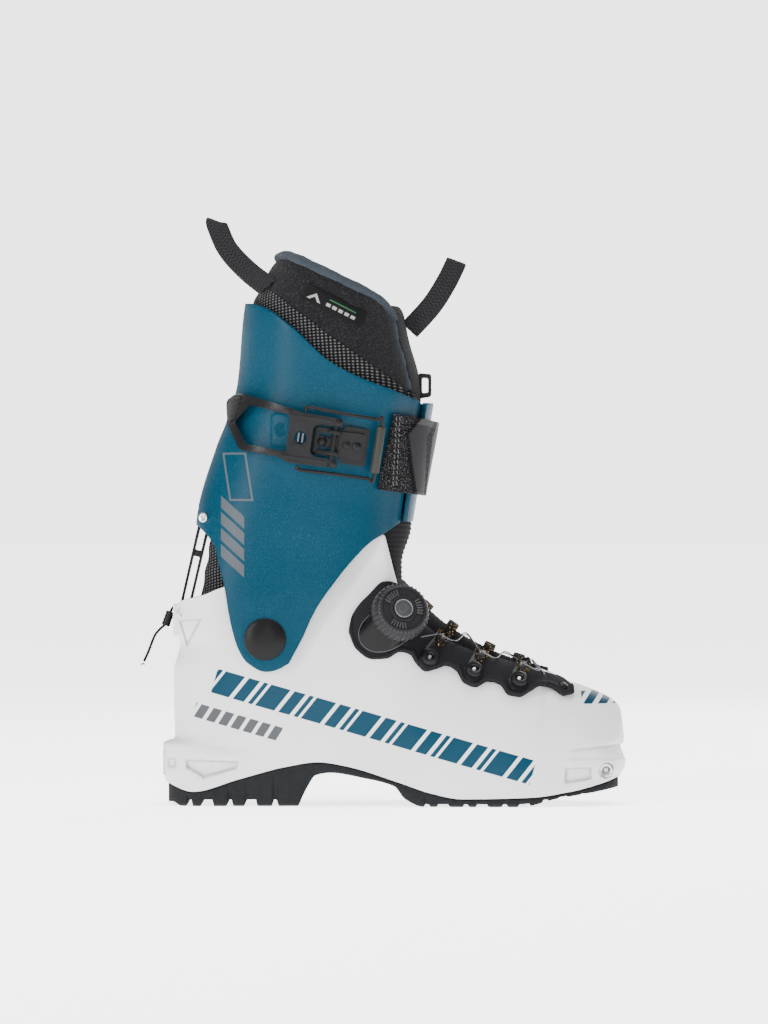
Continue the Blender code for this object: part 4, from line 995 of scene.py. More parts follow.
def on_shell(side):
    return lambda x, z, lift: shell_place(x * MM, z * MM, lift * MM, side)[0]


def eyelets():
    for side, word in ((-1, "lateral"), (1, "medial")):
        for number, (x, z) in enumerate(EYELETS, start=1):
            loop_x, loop_z = LACE_LOOPS[number - 1]
            lean = math.atan2(loop_z - z, loop_x - x)
            outline = []
            for k in range(36):
                angle = 2 * math.pi * k / 36
                forward = math.cos(angle - lean) > 0
                radius = 4.9 if forward else 6.3
                centre = (mix(x, loop_x, 0.95), mix(z, loop_z, 0.95)) if forward else (x, z)
                outline.append((centre[0] + radius * math.cos(angle), centre[1] + radius * math.sin(angle)))
            holder = surface_pad(on_shell(side), outline, 3.3, 1.5)
            place, out = shell_place(x * MM, z * MM, 4.6 * MM, side)
            rim = [
                (0, 0.6), (2.0, 0.6), (2.0, 2.4), (2.7, 3.2), (3.9, 3.4), (4.9, 2.8), (5.4, 1.8), (5.4, 0), (0, 0),
            ]
            turned("", rim, place, out, None, None, bm=holder, steps=40)
            name = f"eyelet_{word}_{number}"
            nodes = (f"lace_eyelet_{word}_{number}",)
            piece(name, holder, DARK_METAL, "shell", nodes, "black_metal", sharp=32)
            stud = [(0, 2.1), (1.0, 2.0), (1.7, 1.4), (1.9, 0.7), (0, 0.7)]
            turned(f"eyelet_rivet_{word}_{number}", stud, place, out, STEEL, "shell", slot="steel", steps=28)
        place, out = shell_place(183.6 * MM, 71.9 * MM, 3.2 * MM, side)
        rivet = [(0, 1.5), (1.6, 1.4), (2.6, 0.9), (3.0, 0.2), (3.0, -0.6), (0, -0.6)]
        turned(f"toe_rivet_{word}", rivet, place, out, DARK_METAL, "shell", slot="black_metal", steps=32)


def fleck_finish():
    """Black webbing with flecks of yellow, orange and pale green thread."""
    made = Finish("flecked_webbing", Roughness=0.75)
    whole, *_ = made.place()
    dots = made.cells(whole, 1.1)
    shade = made.add("ShaderNodeTexVoronoi", inputs={"Vector": whole, "Scale": 1.1}, output="Color")
    pick = made.add("ShaderNodeSeparateColor", inputs={0: shade}, output=0)
    bright = made.blend(pick.above(0.5, 0.1), (0.30, 0.09, 0.010), (0.24, 0.15, 0.05))
    colour = made.blend(pick.above(0.80, 0.04) * dots.below(0.5, 0.2), (0.005, 0.005, 0.0055), bright)
    return made.finish(colour, height=dots, depth=0.25 * MM)


def ribbon_loop(path, width, thick, lean):
    """A strap along a path of points, its width lying along the lean direction."""
    tops, unders = [], []
    for i, place in enumerate(path):
        ahead = (path[min(i + 1, len(path) - 1)] - path[max(i - 1, 0)]).normalized()
        across = (lean - ahead * lean.dot(ahead)).normalized() * width / 2
        out = ahead.cross(across).normalized() * thick / 2
        row = [-1.0, -0.86, -0.5, 0.0, 0.5, 0.86, 1.0]
        tops.append([place + across * s + out * (1 - 0.6 * abs(s) ** 8) for s in row])
        unders.append([place + across * s - out * (1 - 0.6 * abs(s) ** 8) for s in row])
    return grid_solid(tops, unders)


def lace_loops():
    fleck = fleck_finish()
    for side, word in ((-1, "lateral"), (1, "medial")):
        for number, (x, z) in enumerate(LACE_LOOPS, start=1):
            lean = math.radians(52)
            ring = []
            for k in range(40):
                angle = 2 * math.pi * k / 40
                u, v = 4.4 * math.cos(angle), 3.1 * math.sin(angle)
                ring.append((x + 0.6 + u * math.cos(lean) - v * math.sin(lean),
                             z + 0.4 + u * math.sin(lean) + v * math.cos(lean)))
            rings = []
            for scale, lift in ((1.28, 4.6), (1.22, 5.9), (1.0, 6.5), (0.78, 5.9), (0.72, 4.6)):
                rings.append([
                    on_shell(side)(mix(x + 0.6, at_x, scale), mix(z + 0.4, at_z, scale), lift)
                    for at_x, at_z in ring
                ])
            bm = bmesh.new()
            stitch(bm, rings + [rings[0]])
            piece(f"lace_loop_{word}_{number}", bm, fleck, "shell", slot="webbing", sharp=60)
    for number, (x, z) in enumerate(CREST_GUIDES, start=1):
        low = CREST(x * MM)
        slope = math.atan2(CREST((x + 1) * MM) - CREST((x - 1) * MM), 2 * MM)
        lean = Vector((math.cos(slope), 0, math.sin(slope)))
        up = Vector((-math.sin(slope), 0, math.cos(slope)))
        middle = Vector((x * MM, 0, low))
        arc = [middle + Vector((0, y * MM, 0)) + up * rise * MM for y, rise in (
            (-14, -3.5), (-11, 0.6), (-6, 3.2), (0, 4.0), (6, 3.2), (11, 0.6), (14, -3.5))]
        bm = ribbon_loop(smooth_path(arc, 6), 7 * MM, 1.3 * MM, lean)
        piece(f"crest_guide_{number}", bm, fleck, "shell", (f"lace_guide_{number}",), "webbing", sharp=60)


LACE_RADIUS = 0.4 * MM


def steel_lace():
    """Two strands from the dial that cross over the crest between the loops of both sides."""
    metal = steel("lace_steel", (0.15, 0.15, 0.16), 0.42)
    for side, word in ((-1, "a"), (1, "b")):
        stops = [shell_place(94 * MM, 103 * MM, 5.4 * MM, side)[0]]
        here = side
        for (x, z), crossing in zip(LACE_LOOPS, (124.9, 149, 166)):
            stops += [shell_place((x + dx) * MM, (z + dz) * MM, lift * MM, here)[0]
                      for dx, dz, lift in ((-2, 1.5, 6.0), (1, -0.5, 6.4), (9, -3.2, 5.6))]
            over = CREST(crossing * MM) + (2.6 + side * 0.5) * MM
            stops.append(Vector((crossing * MM, -here * 1.5 * side * MM, over)))
            here = -here
        stops.append(shell_place(170 * MM, 79 * MM, 4.6 * MM, here)[0])
        lace = tube(f"lace_wire_{word}", smooth_path(stops, 8), LACE_RADIUS, metal)
        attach(lace, "shell")
        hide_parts("steel_lace")


eyelets()
lace_loops()
steel_lace()


# ================================================================ lace dial
# The ratchet dial that winds the steel lace: a ribbed knob with a silver cap, on a faceted black mount.
DIAL_CENTRE = Vector((79, 0, 115.5)) * MM
DIAL_AXIS = Vector((0.27, -0.91, 0.31)).normalized()
DIAL_BASE_TOP = 10.5


def dial_place(height):
    return shell_place(DIAL_CENTRE.x, DIAL_CENTRE.z)[0] + DIAL_AXIS * height * MM


def dial_frame():
    across = DIAL_AXIS.cross(Vector((0, 0, 1))).normalized() * -1
    upward = DIAL_AXIS.cross(across).normalized()
    return across, upward


def on_dial(radius, angle, height):
    across, upward = dial_frame()
    return dial_place(height) + (across * math.cos(angle) + upward * math.sin(angle)) * radius * MM


def dial_mount():
    foot_x, foot_z = 76, 110.5
    count = 72
    angles = [2 * math.pi * k / count for k in range(count)]

    def on_panel(reach, angle, lift):
        tail = max(0.0, math.cos(angle - math.radians(222))) ** 2
        reach = reach * (1 + 0.42 * tail)
        return on_shell(-1)(foot_x + reach * math.cos(angle), foot_z + reach * 0.86 * math.sin(angle), lift)

    rings = [[on_panel(r, a, lift) for a in angles] for r, lift in (
        (6, 3.5), (13.6, 3.5), (14, 4.2), (13.6, 5.6), (12.6, 6.4))]
    facets = [0.35 * math.cos(8 * a) for a in angles]
    rim = ((14.6, 7), (15.6, 9), (15.8, 10.1), (15.2, 10.6), (12.2, 10.6), (11.8, 10.1), (11.8, 6))
    for radius, height in rim:
        shares = facets if radius > 13 else [0.0] * count
        rings.append([on_dial(radius + facet, angle, height) for angle, facet in zip(angles, shares)])
    bm = bmesh.new()
    rows = stitch(bm, rings)
    floor = bm.verts.new(dial_place(6))
    foot = bm.verts.new(on_shell(-1)(foot_x, foot_z, 3.5))
    for k in range(count):
        m = (k + 1) % count
        bm.faces.new((rows[0][k], rows[0][m], foot))
        bm.faces.new((rows[-1][k], rows[-1][m], floor))
    gloss = moulded("mount_gloss", (0.002, 0.002, 0.0022), (0.005, 0.005, 0.0055), roughness=0.25)
    piece("dial_mount", bm, gloss, "shell", ("dial_housing",), "black_plastic", sharp=30)
    edge = [on_panel(13.9, math.radians(a), 5.0) for a in range(140, 320, 6)]
    line = tube("dial_mount_edge", edge, 0.28 * MM, GUN_METAL)
    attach(line, "shell")


DIAL_GRIPS = 36
DIAL_TEETH = 40
RIB_GROUPS = (128, 8, 250)


def dial_knob():
    count = 216
    rows = []
    profile = (
        (4.3, 0.8, 0), (16.6, 0.8, 0), (17.3, 1.6, 1), (17.6, 4.5, 1), (17.5, 8.6, 1), (17.0, 9.9, 1),
        (16.4, 11.0, 0.4), (15.6, 11.9, 0), (14.4, 12.7, 0), (13.6, 12.9, 0), (13.3, 12.2, 0), (12.9, 12.2, 0),
        (12.8, 11.9, 0), (8.6, 11.9, 0), (8.3, 12.9, 0), (7.4, 13.1, 0), (7.2, 13.1, 0), (6.4, 13.1, 0),
        (6.2, 12.2, 0), (4.3, 12.2, 0),
    )
    for radius, height, grip in profile:
        ring = []
        for k in range(count):
            angle = 2 * math.pi * k / count
            rib = grip * 0.45 * max(-0.6, math.sin(DIAL_GRIPS * angle))
            ring.append(on_dial(radius + rib, angle, DIAL_BASE_TOP + height))
        rows.append(ring)
    bm = bmesh.new()
    stitch(bm, rows + [rows[0]])
    rim = moulded("dial_plastic", (0.007, 0.007, 0.008), (0.015, 0.015, 0.0165), roughness=0.42)
    piece("dial_grip", bm, rim, "dial_rim", ("dial_knob",), "black_plastic", sharp=34)
    across, upward = dial_frame()
    bm = bmesh.new()
    for group in RIB_GROUPS:
        for number in range(6):
            angle = math.radians(group + (number - 2.5) * 9)
            place = on_dial(10.7, angle, DIAL_BASE_TOP + 12.4)
            outward = across * math.cos(angle) + upward * math.sin(angle)
            sideways = DIAL_AXIS.cross(outward)
            turn = Matrix((outward, sideways, DIAL_AXIS)).transposed().to_4x4()
            box(place, (3.9 * MM, 0.9 * MM, 1.3 * MM), turn, bm)
    for number in range(DIAL_TEETH):
        angle = 2 * math.pi * number / DIAL_TEETH
        place = on_dial(15.2, angle, DIAL_BASE_TOP + 12.3)
        outward = across * math.cos(angle) + upward * math.sin(angle)
        turn = Matrix((outward, DIAL_AXIS.cross(outward), DIAL_AXIS)).transposed().to_4x4()
        box(place, (1.0 * MM, 1.3 * MM, 0.7 * MM), turn, bm)
    # Painted highlight: the raised ribs and teeth get a lighter grey that stands in for the bright lines of light
    # along their edges.
    worn = moulded("dial_ribs_painted_highlight", (0.012, 0.012, 0.013), (0.055, 0.055, 0.058), roughness=0.4)
    piece("dial_ribs", bm, worn, "dial_rim", slot="black_plastic", bevel=0.12 * MM)
    top = DIAL_BASE_TOP
    cap = [(0, top + 13.9), (3.2, top + 13.9), (3.5, top + 13.5), (4.2, top + 13.5), (4.5, top + 14.1),
           (5.5, top + 14.1), (5.9, top + 13.6), (5.9, top + 12.4), (0, top + 12.4)]
    silver = steel("dial_silver", (0.13, 0.135, 0.145), 0.40)
    bm = bmesh.new()
    turned("", cap, dial_place(0), DIAL_AXIS, None, None, bm=bm)
    for spin in (0, 60, 120):
        angle = math.radians(spin + 20)
        outward = across * math.cos(angle) + upward * math.sin(angle)
        turn = Matrix((outward, DIAL_AXIS.cross(outward), DIAL_AXIS)).transposed().to_4x4()
        box(dial_place(top + 13.9), (5.2 * MM, 0.7 * MM, 0.5 * MM), turn, bm)
    piece("dial_cap_disc", bm, silver, "dial_slide", ("dial_cap",), "steel", sharp=32)
    ring = [(5.2, top + 13.9), (5.4, top + 14.3), (5.8, top + 14.3), (6.0, top + 13.8), (5.6, top + 13.5)]
    bm = bmesh.new()
    turned("", ring + ring[:1], dial_place(0), DIAL_AXIS, None, None, bm=bm)
    bmesh.ops.remove_doubles(bm, verts=bm.verts, dist=0.001 * MM)
    piece("dial_cap_ring", bm, STEEL, "dial_slide", slot="steel", sharp=32)


dial_mount()
dial_knob()


# ================================================================ cuff
# The petrol-blue hinged cuff: one moulded wrap whose outer flap tucks under the inner one at the front, with a
# slotted rear, a raised pad beside the buckle and grey printed marks on its sides.
ANKLE = Vector((0, 0, 103.6)) * MM
CUFF_WALL = 3.0 * MM
CUFF_SCREW = Vector((-37.9, 0, 178.8)) * MM
CUFF_REAR = through([
    (80, -50), (130, -48), (173, -44.3), (182, -43.3), (222.8, -31.4), (239, -25), (262, -18.3), (312, -13.4),
    (322, -8), (332, -3.5), (345, 3),
])
CUFF_FRONT = through([
    (80, 84), (130, 86), (165, 90), (192, 94.2), (238.4, 102.6), (251.6, 104.4), (265, 103.5), (290, 97),
    (312, 93), (345, 88),
])
CUFF_WIDTH = through([
    (80, 46.5), (125, 46.5), (160, 45), (190, 44.5), (230, 47.5), (265, 51), (312, 52), (345, 52),
])
CUFF_LOW = through([
    (-45, 175), (-42.2, 173.2), (-31.4, 160.7), (-29.6, 153.4), (-25.4, 136), (-21.6, 114), (-16.8, 97.8),
    (-11, 89), (0.4, 83.4), (12.8, 87.2), (19.6, 95.9), (24.4, 107.3), (31.1, 121.6), (41.6, 136.9),
    (53.1, 151.3), (65.5, 163.8), (73.9, 169), (84.1, 176.2),
])
CUFF_TOP = through([
    (-16, 311), (-13.4, 312), (-2.8, 309.1), (16.5, 295.9), (39.1, 275.6), (59.5, 264.8), (78.7, 257.6),
    (98, 250),
])
CUFF_SPAN = (80 * MM, 345 * MM)


def squareness(z):
    return mix(3.0, 2.35, smoothstep(120 * MM, 210 * MM, z))


def cuff_half_width(x, z):
    centre = (CUFF_REAR(z) + CUFF_FRONT(z)) / 2
    reach = (CUFF_FRONT(z) - CUFF_REAR(z)) / 2
    power = squareness(z)
    left = 1 - min(1.0, abs(x - centre) / reach) ** power
    return CUFF_WIDTH(z) * left ** (1 / power)


def cuff_point(turn, z, inset=0.0):
    """A point of the cuff's surface: turn 0 is the heel side, +pi the front by way of the outer side."""
    centre = (CUFF_REAR(z) + CUFF_FRONT(z)) / 2
    reach = (CUFF_FRONT(z) - CUFF_REAR(z)) / 2 - inset
    power = 2 / squareness(z)
    c, s = math.cos(turn), math.sin(turn)
    x = centre - reach * math.copysign(abs(c) ** power, c)
    y = -(CUFF_WIDTH(z) - inset) * math.copysign(abs(s) ** power, s)
    return Vector((x, y, z))


def edge_height(turn, edge, inset=0.0):
    """Where the surface's line at this turn meets an edge that is given as a height for each X."""
    low, high = CUFF_SPAN
    for _ in range(20):
        middle = (low + high) / 2
        if middle < edge(cuff_point(turn, middle, inset).x):
            low = middle
        else:
            high = middle
    return (low + high) / 2


def turn_at(x, z):
    """The turn at which the outer side of the cuff reaches this X."""
    low, high = 0.3, math.pi
    for _ in range(30):
        middle = (low + high) / 2
        if cuff_point(middle, z).x < x:
            low = middle
        else:
            high = middle
    return low


def wrap(turns, low, high, inset, wall, rows, relief=None):
    """A curved slab on the cuff's surface between two edges, given as heights for each X."""
    tops, unders = [], []
    for turn in turns:
        depth = inset(turn) if callable(inset) else inset
        bottom, top = edge_height(turn, low, depth), edge_height(turn, high, depth)
        row_top, row_under = [], []
        for k in range(rows + 1):
            z = mix(bottom, top, k / rows)
            rise = relief(turn, k / rows) if relief else 0.0
            row_top.append(cuff_point(turn, z, depth - rise))
            row_under.append(cuff_point(turn, z, depth + wall))
        tops.append(row_top)
        unders.append(row_under)
    return grid_solid(tops, unders)


def cuff_finish():
    made = Finish("cuff_plastic_print", Specular_IOR_Level=0.09)
    whole, x, y, z = made.place()
    side = y.abs().above(14, 3)
    fine = made.noise(whole, 0.95, 3.0)
    cloud = made.noise(whole, 0.02, 3.0)
    # Painted highlight: the lighter blue specks below stand in for glints of light on the plastic's grain.
    speck = made.noise(whole, 2.6, 3.0).above(0.60, 0.10)
    base = made.blend(cloud, (0.0004, 0.023, 0.043), (0.0006, 0.029, 0.052))
    base = made.blend(speck * (cloud * 0.9), base, (0.012, 0.075, 0.115))
    scuff = made.noise(whole, 0.3, 5.0).above(0.70, 0.06) * 0.18
    base = made.blend(scuff, base, (0.02, 0.075, 0.105))
    lean = x + (z - 200) * 0.16
    outline = lean.within(-24, -9, 0.3) * z.within(189, 219, 0.3)
    hollow = lean.within(-22.8, -10.2, 0.3) * z.within(190.2, 217.8, 0.3)
    outline = outline * (1 - hollow)
    left = x.within(-27.5, -13, 0.3)
    lozenge = left * (z + x * 0.9).within(128, 168, 0.4)
    cuts = printed_bars(z + x * 0.9, x * 0, 10, ((0, 7.6),), 0.0)
    grey = (outline + lozenge * cuts) * side * y.below(0, 1)
    base = made.blend(grey * 0.85, base, (0.062, 0.068, 0.074))
    rough = cloud * 0.12 + fine * 0.08 + 0.24
    return made.finish(base, rough, height=fine * 0.8 + speck * 0.2, depth=0.16 * MM, strength=0.9)


BLUE_PLASTIC = cuff_finish()


def cuff():
    def inset(turn):
        return 3.7 * MM * smoothstep(2.0, 2.5, turn)

    bm = wrap(spread(math.pi - 0.42, -math.pi - 0.40, 200), CUFF_LOW, CUFF_TOP, inset, CUFF_WALL, 50)
    made = piece("cuff_wrap", bm, BLUE_PLASTIC, "cuff", ("cuff",), "cuff_plastic")
    carve(made, box(CUFF_SCREW + Vector((-8, 0, -4)) * MM, (20 * MM, 16 * MM, 22 * MM)))
    rounding = made.modifiers.new("rounded_edges", "BEVEL")
    rounding.width = 0.9 * MM
    rounding.segments = 3
    rounding.angle_limit = math.radians(50)
    settle(made)
    made.data.shade_smooth()
    made.data.set_sharp_from_angle(angle=math.radians(60))
    outline = denser([
        (3.4, 224), (5, 221.5), (15, 220.5), (17.2, 222.5), (17.4, 241.5), (15.5, 243.6), (5.5, 243.5),
        (3.4, 241.5),
    ])
    pad = surface_pad(on_cuff_side, outline, -0.5, 1.9)
    piece("cuff_pad", pad, BLUE_PLASTIC, "cuff", slot="cuff_plastic")
    ring = [(0, 0.6), (2.4, 0.6), (2.6, 0.9), (3.8, 0.9), (4.1, 0.4), (4.1, 0), (0, 0)]
    place = Vector(on_cuff_side(9.7, 232.9, 1.3))
    turned("cuff_pad_ring", ring, place, (0.05, -1, 0), BLUE_PLASTIC, "cuff", slot="cuff_plastic", steps=40)
    for side, word in ((-1, "lateral"), (1, "medial")):
        y = side * (cuff_half_width(CUFF_SCREW.x, CUFF_SCREW.z) + 1.4 * MM)
        head = [(0, 0.5), (1.0, 0.5), (1.25, 1.5), (2.3, 1.7), (3.0, 1.1), (3.1, -0.4), (0, -0.4)]
        turned(f"cuff_screw_head_{word}", head, (CUFF_SCREW.x - 0.6 * MM, y, CUFF_SCREW.z), (-0.6, side, 0), STEEL,
               "cuff", (f"cuff_screw_{word}",), "steel", steps=40)


def on_cuff_side(x, z, lift):
    return Vector((x * MM, -(cuff_half_width(x * MM, z * MM) + lift * MM), z * MM))


cuff()


# ================================================================ ankle pivots
# Large domed black caps over the steel studs that the cuff turns on, and the screws of the shell's ears.
def ankle_caps():
    satin = moulded("cap_black", (0.0025, 0.0025, 0.003), (0.005, 0.005, 0.0055), roughness=0.36)
    for side, word in ((-1, "lateral"), (1, "medial")):
        y = side * (cuff_half_width(0, ANKLE.z) + 0.4 * MM)
        dome = [(0, 3.3), (3, 3.24), (6, 3.0), (8.5, 2.5), (10.6, 1.8), (11.4, 1.5), (11.8, 1.2), (12.5, 1.0),
                (12.9, 0.5), (12.9, 0), (0, 0)]
        nodes = (f"ankle_cap_{word}",)
        turned(f"pivot_cap_{word}", dome, (0, y, ANKLE.z), (0, side, 0), satin, "shell", nodes,
               "black_plastic", steps=96)
        head = [(0, 0.5), (0.9, 0.5), (1.1, 1.3), (2.0, 1.4), (2.5, 1.0), (2.5, -5), (0, -5)]
        place = Vector((-52.8, side * 20.2, 119.3)) * MM
        nodes = (f"lock_screw_{word}",)
        turned(f"ear_screw_{word}", head, place, (0, side, 0), STEEL, "shell", nodes, "steel")


ankle_caps()


# ================================================================ buckle
# The cuff buckle: a forked black lever on a riveted base, and a wire bail with a roller that draws the strap.
LEVER_PIN = Vector((42.2, 0, 224.7)) * MM
LEVER_AXIS = Vector((0.151, 0, 0.989)).normalized()
BAIL_ALONG = -19
BAIL_DEPTH = 8.0


def tilt(along, across):
    """A place on the buckle: millimetres along it to the toe and across it upward, from the lever's pin."""
    lean = math.radians(8.7)
    x = LEVER_PIN.x / MM + along * math.cos(lean) + across * math.sin(lean)
    z = LEVER_PIN.z / MM + across * math.cos(lean) - along * math.sin(lean)
    return x, z


def plate(outline, thickness, holes=()):
    """A flat outline with holes, points (x, z) in millimetres, as a slab in X and Z, centred on Y = 0."""
    curve = bpy.data.curves.new("plate", "CURVE")
    curve.dimensions = "2D"
    curve.fill_mode = "BOTH"
    curve.extrude = thickness * MM / 2
    for loop in (outline, *holes):
        spline = curve.splines.new("POLY")
        spline.points.add(len(loop) - 1)
        for knot, (x, z) in zip(spline.points, loop):
            knot.co = (x * MM, z * MM, 0, 1)
        spline.use_cyclic_u = True
    holder = link("plate", curve)
    bpy.context.view_layer.update()
    evaluated = holder.evaluated_get(bpy.context.evaluated_depsgraph_get())
    mesh = bpy.data.meshes.new_from_object(evaluated)
    bm = bmesh.new()
    bm.from_mesh(mesh)
    bmesh.ops.remove_doubles(bm, verts=bm.verts, dist=0.00001)
    bpy.data.objects.remove(holder)
    bpy.data.meshes.remove(mesh)
    bmesh.ops.transform(bm, matrix=Matrix.Rotation(math.pi / 2, 4, "X"), verts=bm.verts)
    return bm


def slab(points, near, far, holes=()):
    """A slab over the cuff's side, bent to it, its outline in the buckle's own directions."""
    bm = plate([tilt(*p) for p in points], 1.0, [[tilt(*p) for p in hole] for hole in holes])
    xs = [vert.co.x for vert in bm.verts]
    for share in spread(0, 1, math.ceil((max(xs) - min(xs)) / (6 * MM)))[1:-1]:
        place = Vector((mix(min(xs), max(xs), share) + 0.05 * MM, 0, 0))
        everything = bm.verts[:] + bm.edges[:] + bm.faces[:]
        bmesh.ops.bisect_plane(bm, geom=everything, dist=0.000001, plane_co=place, plane_no=(1, 0, 0))
    for vert in bm.verts:
        depth = near if vert.co.y > 0 else far
        vert.co.y = -(cuff_half_width(vert.co.x, vert.co.z) + depth * MM)
    return bm


def rounded(points, radius=1.6):
    """An outline with its corners rounded."""
    made = []
    for before, here, after in zip(points[-1:] + points[:-1], points, points[1:] + points[:1]):
        a, b, c = Vector(before), Vector(here), Vector(after)
        reach = min(radius, (a - b).length * 0.45, (c - b).length * 0.45)
        start, end = b + (a - b).normalized() * reach, b + (c - b).normalized() * reach
        for t in (0, 0.33, 0.67, 1):
            made.append(tuple(start * (1 - t) ** 2 + b * 2 * t * (1 - t) + end * t * t))
    return made


def bail_place(along, across, depth):
    x, z = tilt(along, across)
    return Vector((x * MM, -(cuff_half_width(x * MM, z * MM) + depth * MM), z * MM))


def disc_outline(along, across, radius):
    turns = [2 * math.pi * k / 20 for k in range(20)]
    return [(along + radius * math.cos(turn), across + radius * math.sin(turn)) for turn in turns]


def buckle():
    base = [(-13, -8.5), (5, -8.5), (6, -11.5), (21, -11.5), (21, 11.5), (6, 11.5), (5, 8.5), (-13, 8.5)]
    holes = [
        rounded([(-9.5, -5.5), (-9.5, -3), (2, -3), (2, -5.5)], 0.8),
        rounded([(-9.5, 3), (-9.5, 5.5), (2, 5.5), (2, 3)], 0.8),
    ]
    piece("buckle_plate", slab(rounded(base), 0.4, 2.6, holes), DARK_METAL, "cuff", ("buckle_base",), "black_metal",
          bevel=0.4 * MM)
    block = rounded([(3, -7.5), (19, -8.5), (19.5, 8.5), (3, 7.5)], 2)
    piece("buckle_block", slab(block, 2.4, 5.0), DARK_METAL, "cuff", slot="black_metal", bevel=0.7 * MM)
    for number, across in enumerate((-6.5, 6.5)):
        lug = bail_place(0, across, 5.6)
        turn = LEVER_AXIS.to_track_quat("Z", "Y").to_matrix().to_4x4()
        piece(f"buckle_lug_{number}", box(lug, (9 * MM, 7.4 * MM, 2.6 * MM), turn), DARK_METAL, "cuff",
              slot="black_metal", bevel=0.6 * MM)
    for number, (along, across, radius) in enumerate(((-7.0, 0, 3.0), (8, 0, 2.4), (14.5, 0, 2.8)), start=1):
        head = [(0, 1.5), (radius * 0.35, 1.5), (radius * 0.8, 1.1), (radius, 0.5), (radius, -1.5), (0, -1.5)]
        nodes = {1: ("base_rivet_1",), 3: ("base_rivet_2",)}.get(number, ())
        lift = 2.8 if number == 1 else 5.2
        turned(f"buckle_rivet_{number}", head, bail_place(along, across, lift), (0.1, -1, 0), DARK_METAL, "cuff",
               nodes, "black_metal", steps=32)
    outer = [(-67.6, 3.0), (-57, -12.9), (-32, -13.6), (-26, -16.2), (3.5, -15.2), (4.6, -12.8), (3.5, -10.2),
             (-10, -10.2), (-13.5, -8.0), (-13.5, 8.0), (-10, 10.2), (3.5, 10.2), (4.6, 12.8), (3.5, 15.2),
             (-22, 15.8), (-30, 17.4), (-60, 21.8), (-66, 21.4), (-70.6, 16)]
    window = rounded([(-54.5, 15.6), (-62.4, 4.0), (-53.7, -8.6), (-28.0, -9.8), (-28.6, 13.0)], 1.5)
    lever = slab(rounded(outer, 2.2), 6.0, 9.6, [window, disc_outline(-20.5, 0.2, 3.9)])
    piece("buckle_fork", lever, DARK_METAL, "lever", ("buckle_lever",), "black_metal", bevel=0.8 * MM)
    grip = merge(*[
        slab(rounded([(-69.6 + k * 0.9, 16.6 - k * 3.3), (-61.5 - k * 0.4, 18.6 - k * 3.3),
                      (-61.5 - k * 0.4, 19.6 - k * 3.3), (-69.6 + k * 0.9, 17.7 - k * 3.3)], 0.3), 9.2, 10.2)
        for k in range(5)
    ])
    for number, across in enumerate((-1.2, 1.4)):
        left, right = across - 21.1, across - 20.1
        bar_outline = [(left, -2.8), (right, -2.8), (right, 3.2), (left, 3.2)]
        bar = slab(rounded(bar_outline, 0.3), 6.6, 8.2)
        piece(f"buckle_spring_{number}", bar, GUN_METAL, "lever", slot="steel", bevel=0.2 * MM)
    piece("buckle_grip", grip, DARK_METAL, "lever", slot="black_metal", bevel=0.3 * MM)
    for number, across in enumerate((-12.7, 12.7)):
        low, high = across - 1.0, across + 1.0
        rail = slab(rounded([(-30, low), (-2, low), (-2, high), (-30, high)], 0.8),
                    9.3, 10.3)
        piece(f"buckle_rail_{number}", rail, DARK_METAL, "lever", slot="black_metal", bevel=0.35 * MM)
        head = [(0, 1.1), (1.4, 1.0), (2.4, 0.5), (2.6, -0.3), (0, -0.3)]
        turned(f"buckle_pin_head_{number}", head, bail_place(1.5, across, 9.8), (0.1, -1, 0), DARK_METAL, "lever",
               slot="black_metal", steps=28)
    side = ((BAIL_ALONG, 17.0, BAIL_DEPTH), (BAIL_ALONG, 19.4, BAIL_DEPTH), (-8, 19.2, 8.2), (4, 18.8, 8.2),
            (16, 18.6, 7.8), (24, 18.4, 7.2), (27.8, 17.4, 6.8))
    knots = [bail_place(*p) for p in side]
    knots += [bail_place(along, -across, depth) for along, across, depth in reversed(side)]
    wire = tube("bail_loop", smooth_path(knots, 6), 1.1 * MM, DARK_METAL, sides=5)
    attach(wire, "bail")
    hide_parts("bail_wire")
    middle, along = (knots[6] + knots[7]) / 2, (knots[6] - knots[7]).normalized()
    start, end = middle - along * 14.5 * MM, middle + along * 14.5 * MM
    olive = moulded("roller_olive", (0.013, 0.0135, 0.011), (0.024, 0.0245, 0.021), roughness=0.4)
    piece("bail_sleeve", rod(start, end, 2.9 * MM, 40), olive, "bail", ("bail_roller",), "black_plastic",
          bevel=0.6 * MM)


buckle()


# ================================================================ strap
# The wide power strap: a fuzzy loop-pile band round the shin, and over it the smooth end tab with a pinked edge
# and a strip of hooks.
STRAP_LOW = through([(40, 203), (72, 196), (92, 193.5), (110, 191)])
STRAP_HIGH = through([(40, 249), (72, 243.5), (92, 241), (110, 237.5)])


TAB_TIP = 0.77


def tab_rear_edge(height):
    """The X of the end tab's pointed rear edge, by its share of the strap's height."""
    if height < TAB_TIP:
        return mix(94.2, 82.8, height / TAB_TIP)
    return mix(82.8, 89.4, (height - TAB_TIP) / (1 - TAB_TIP))


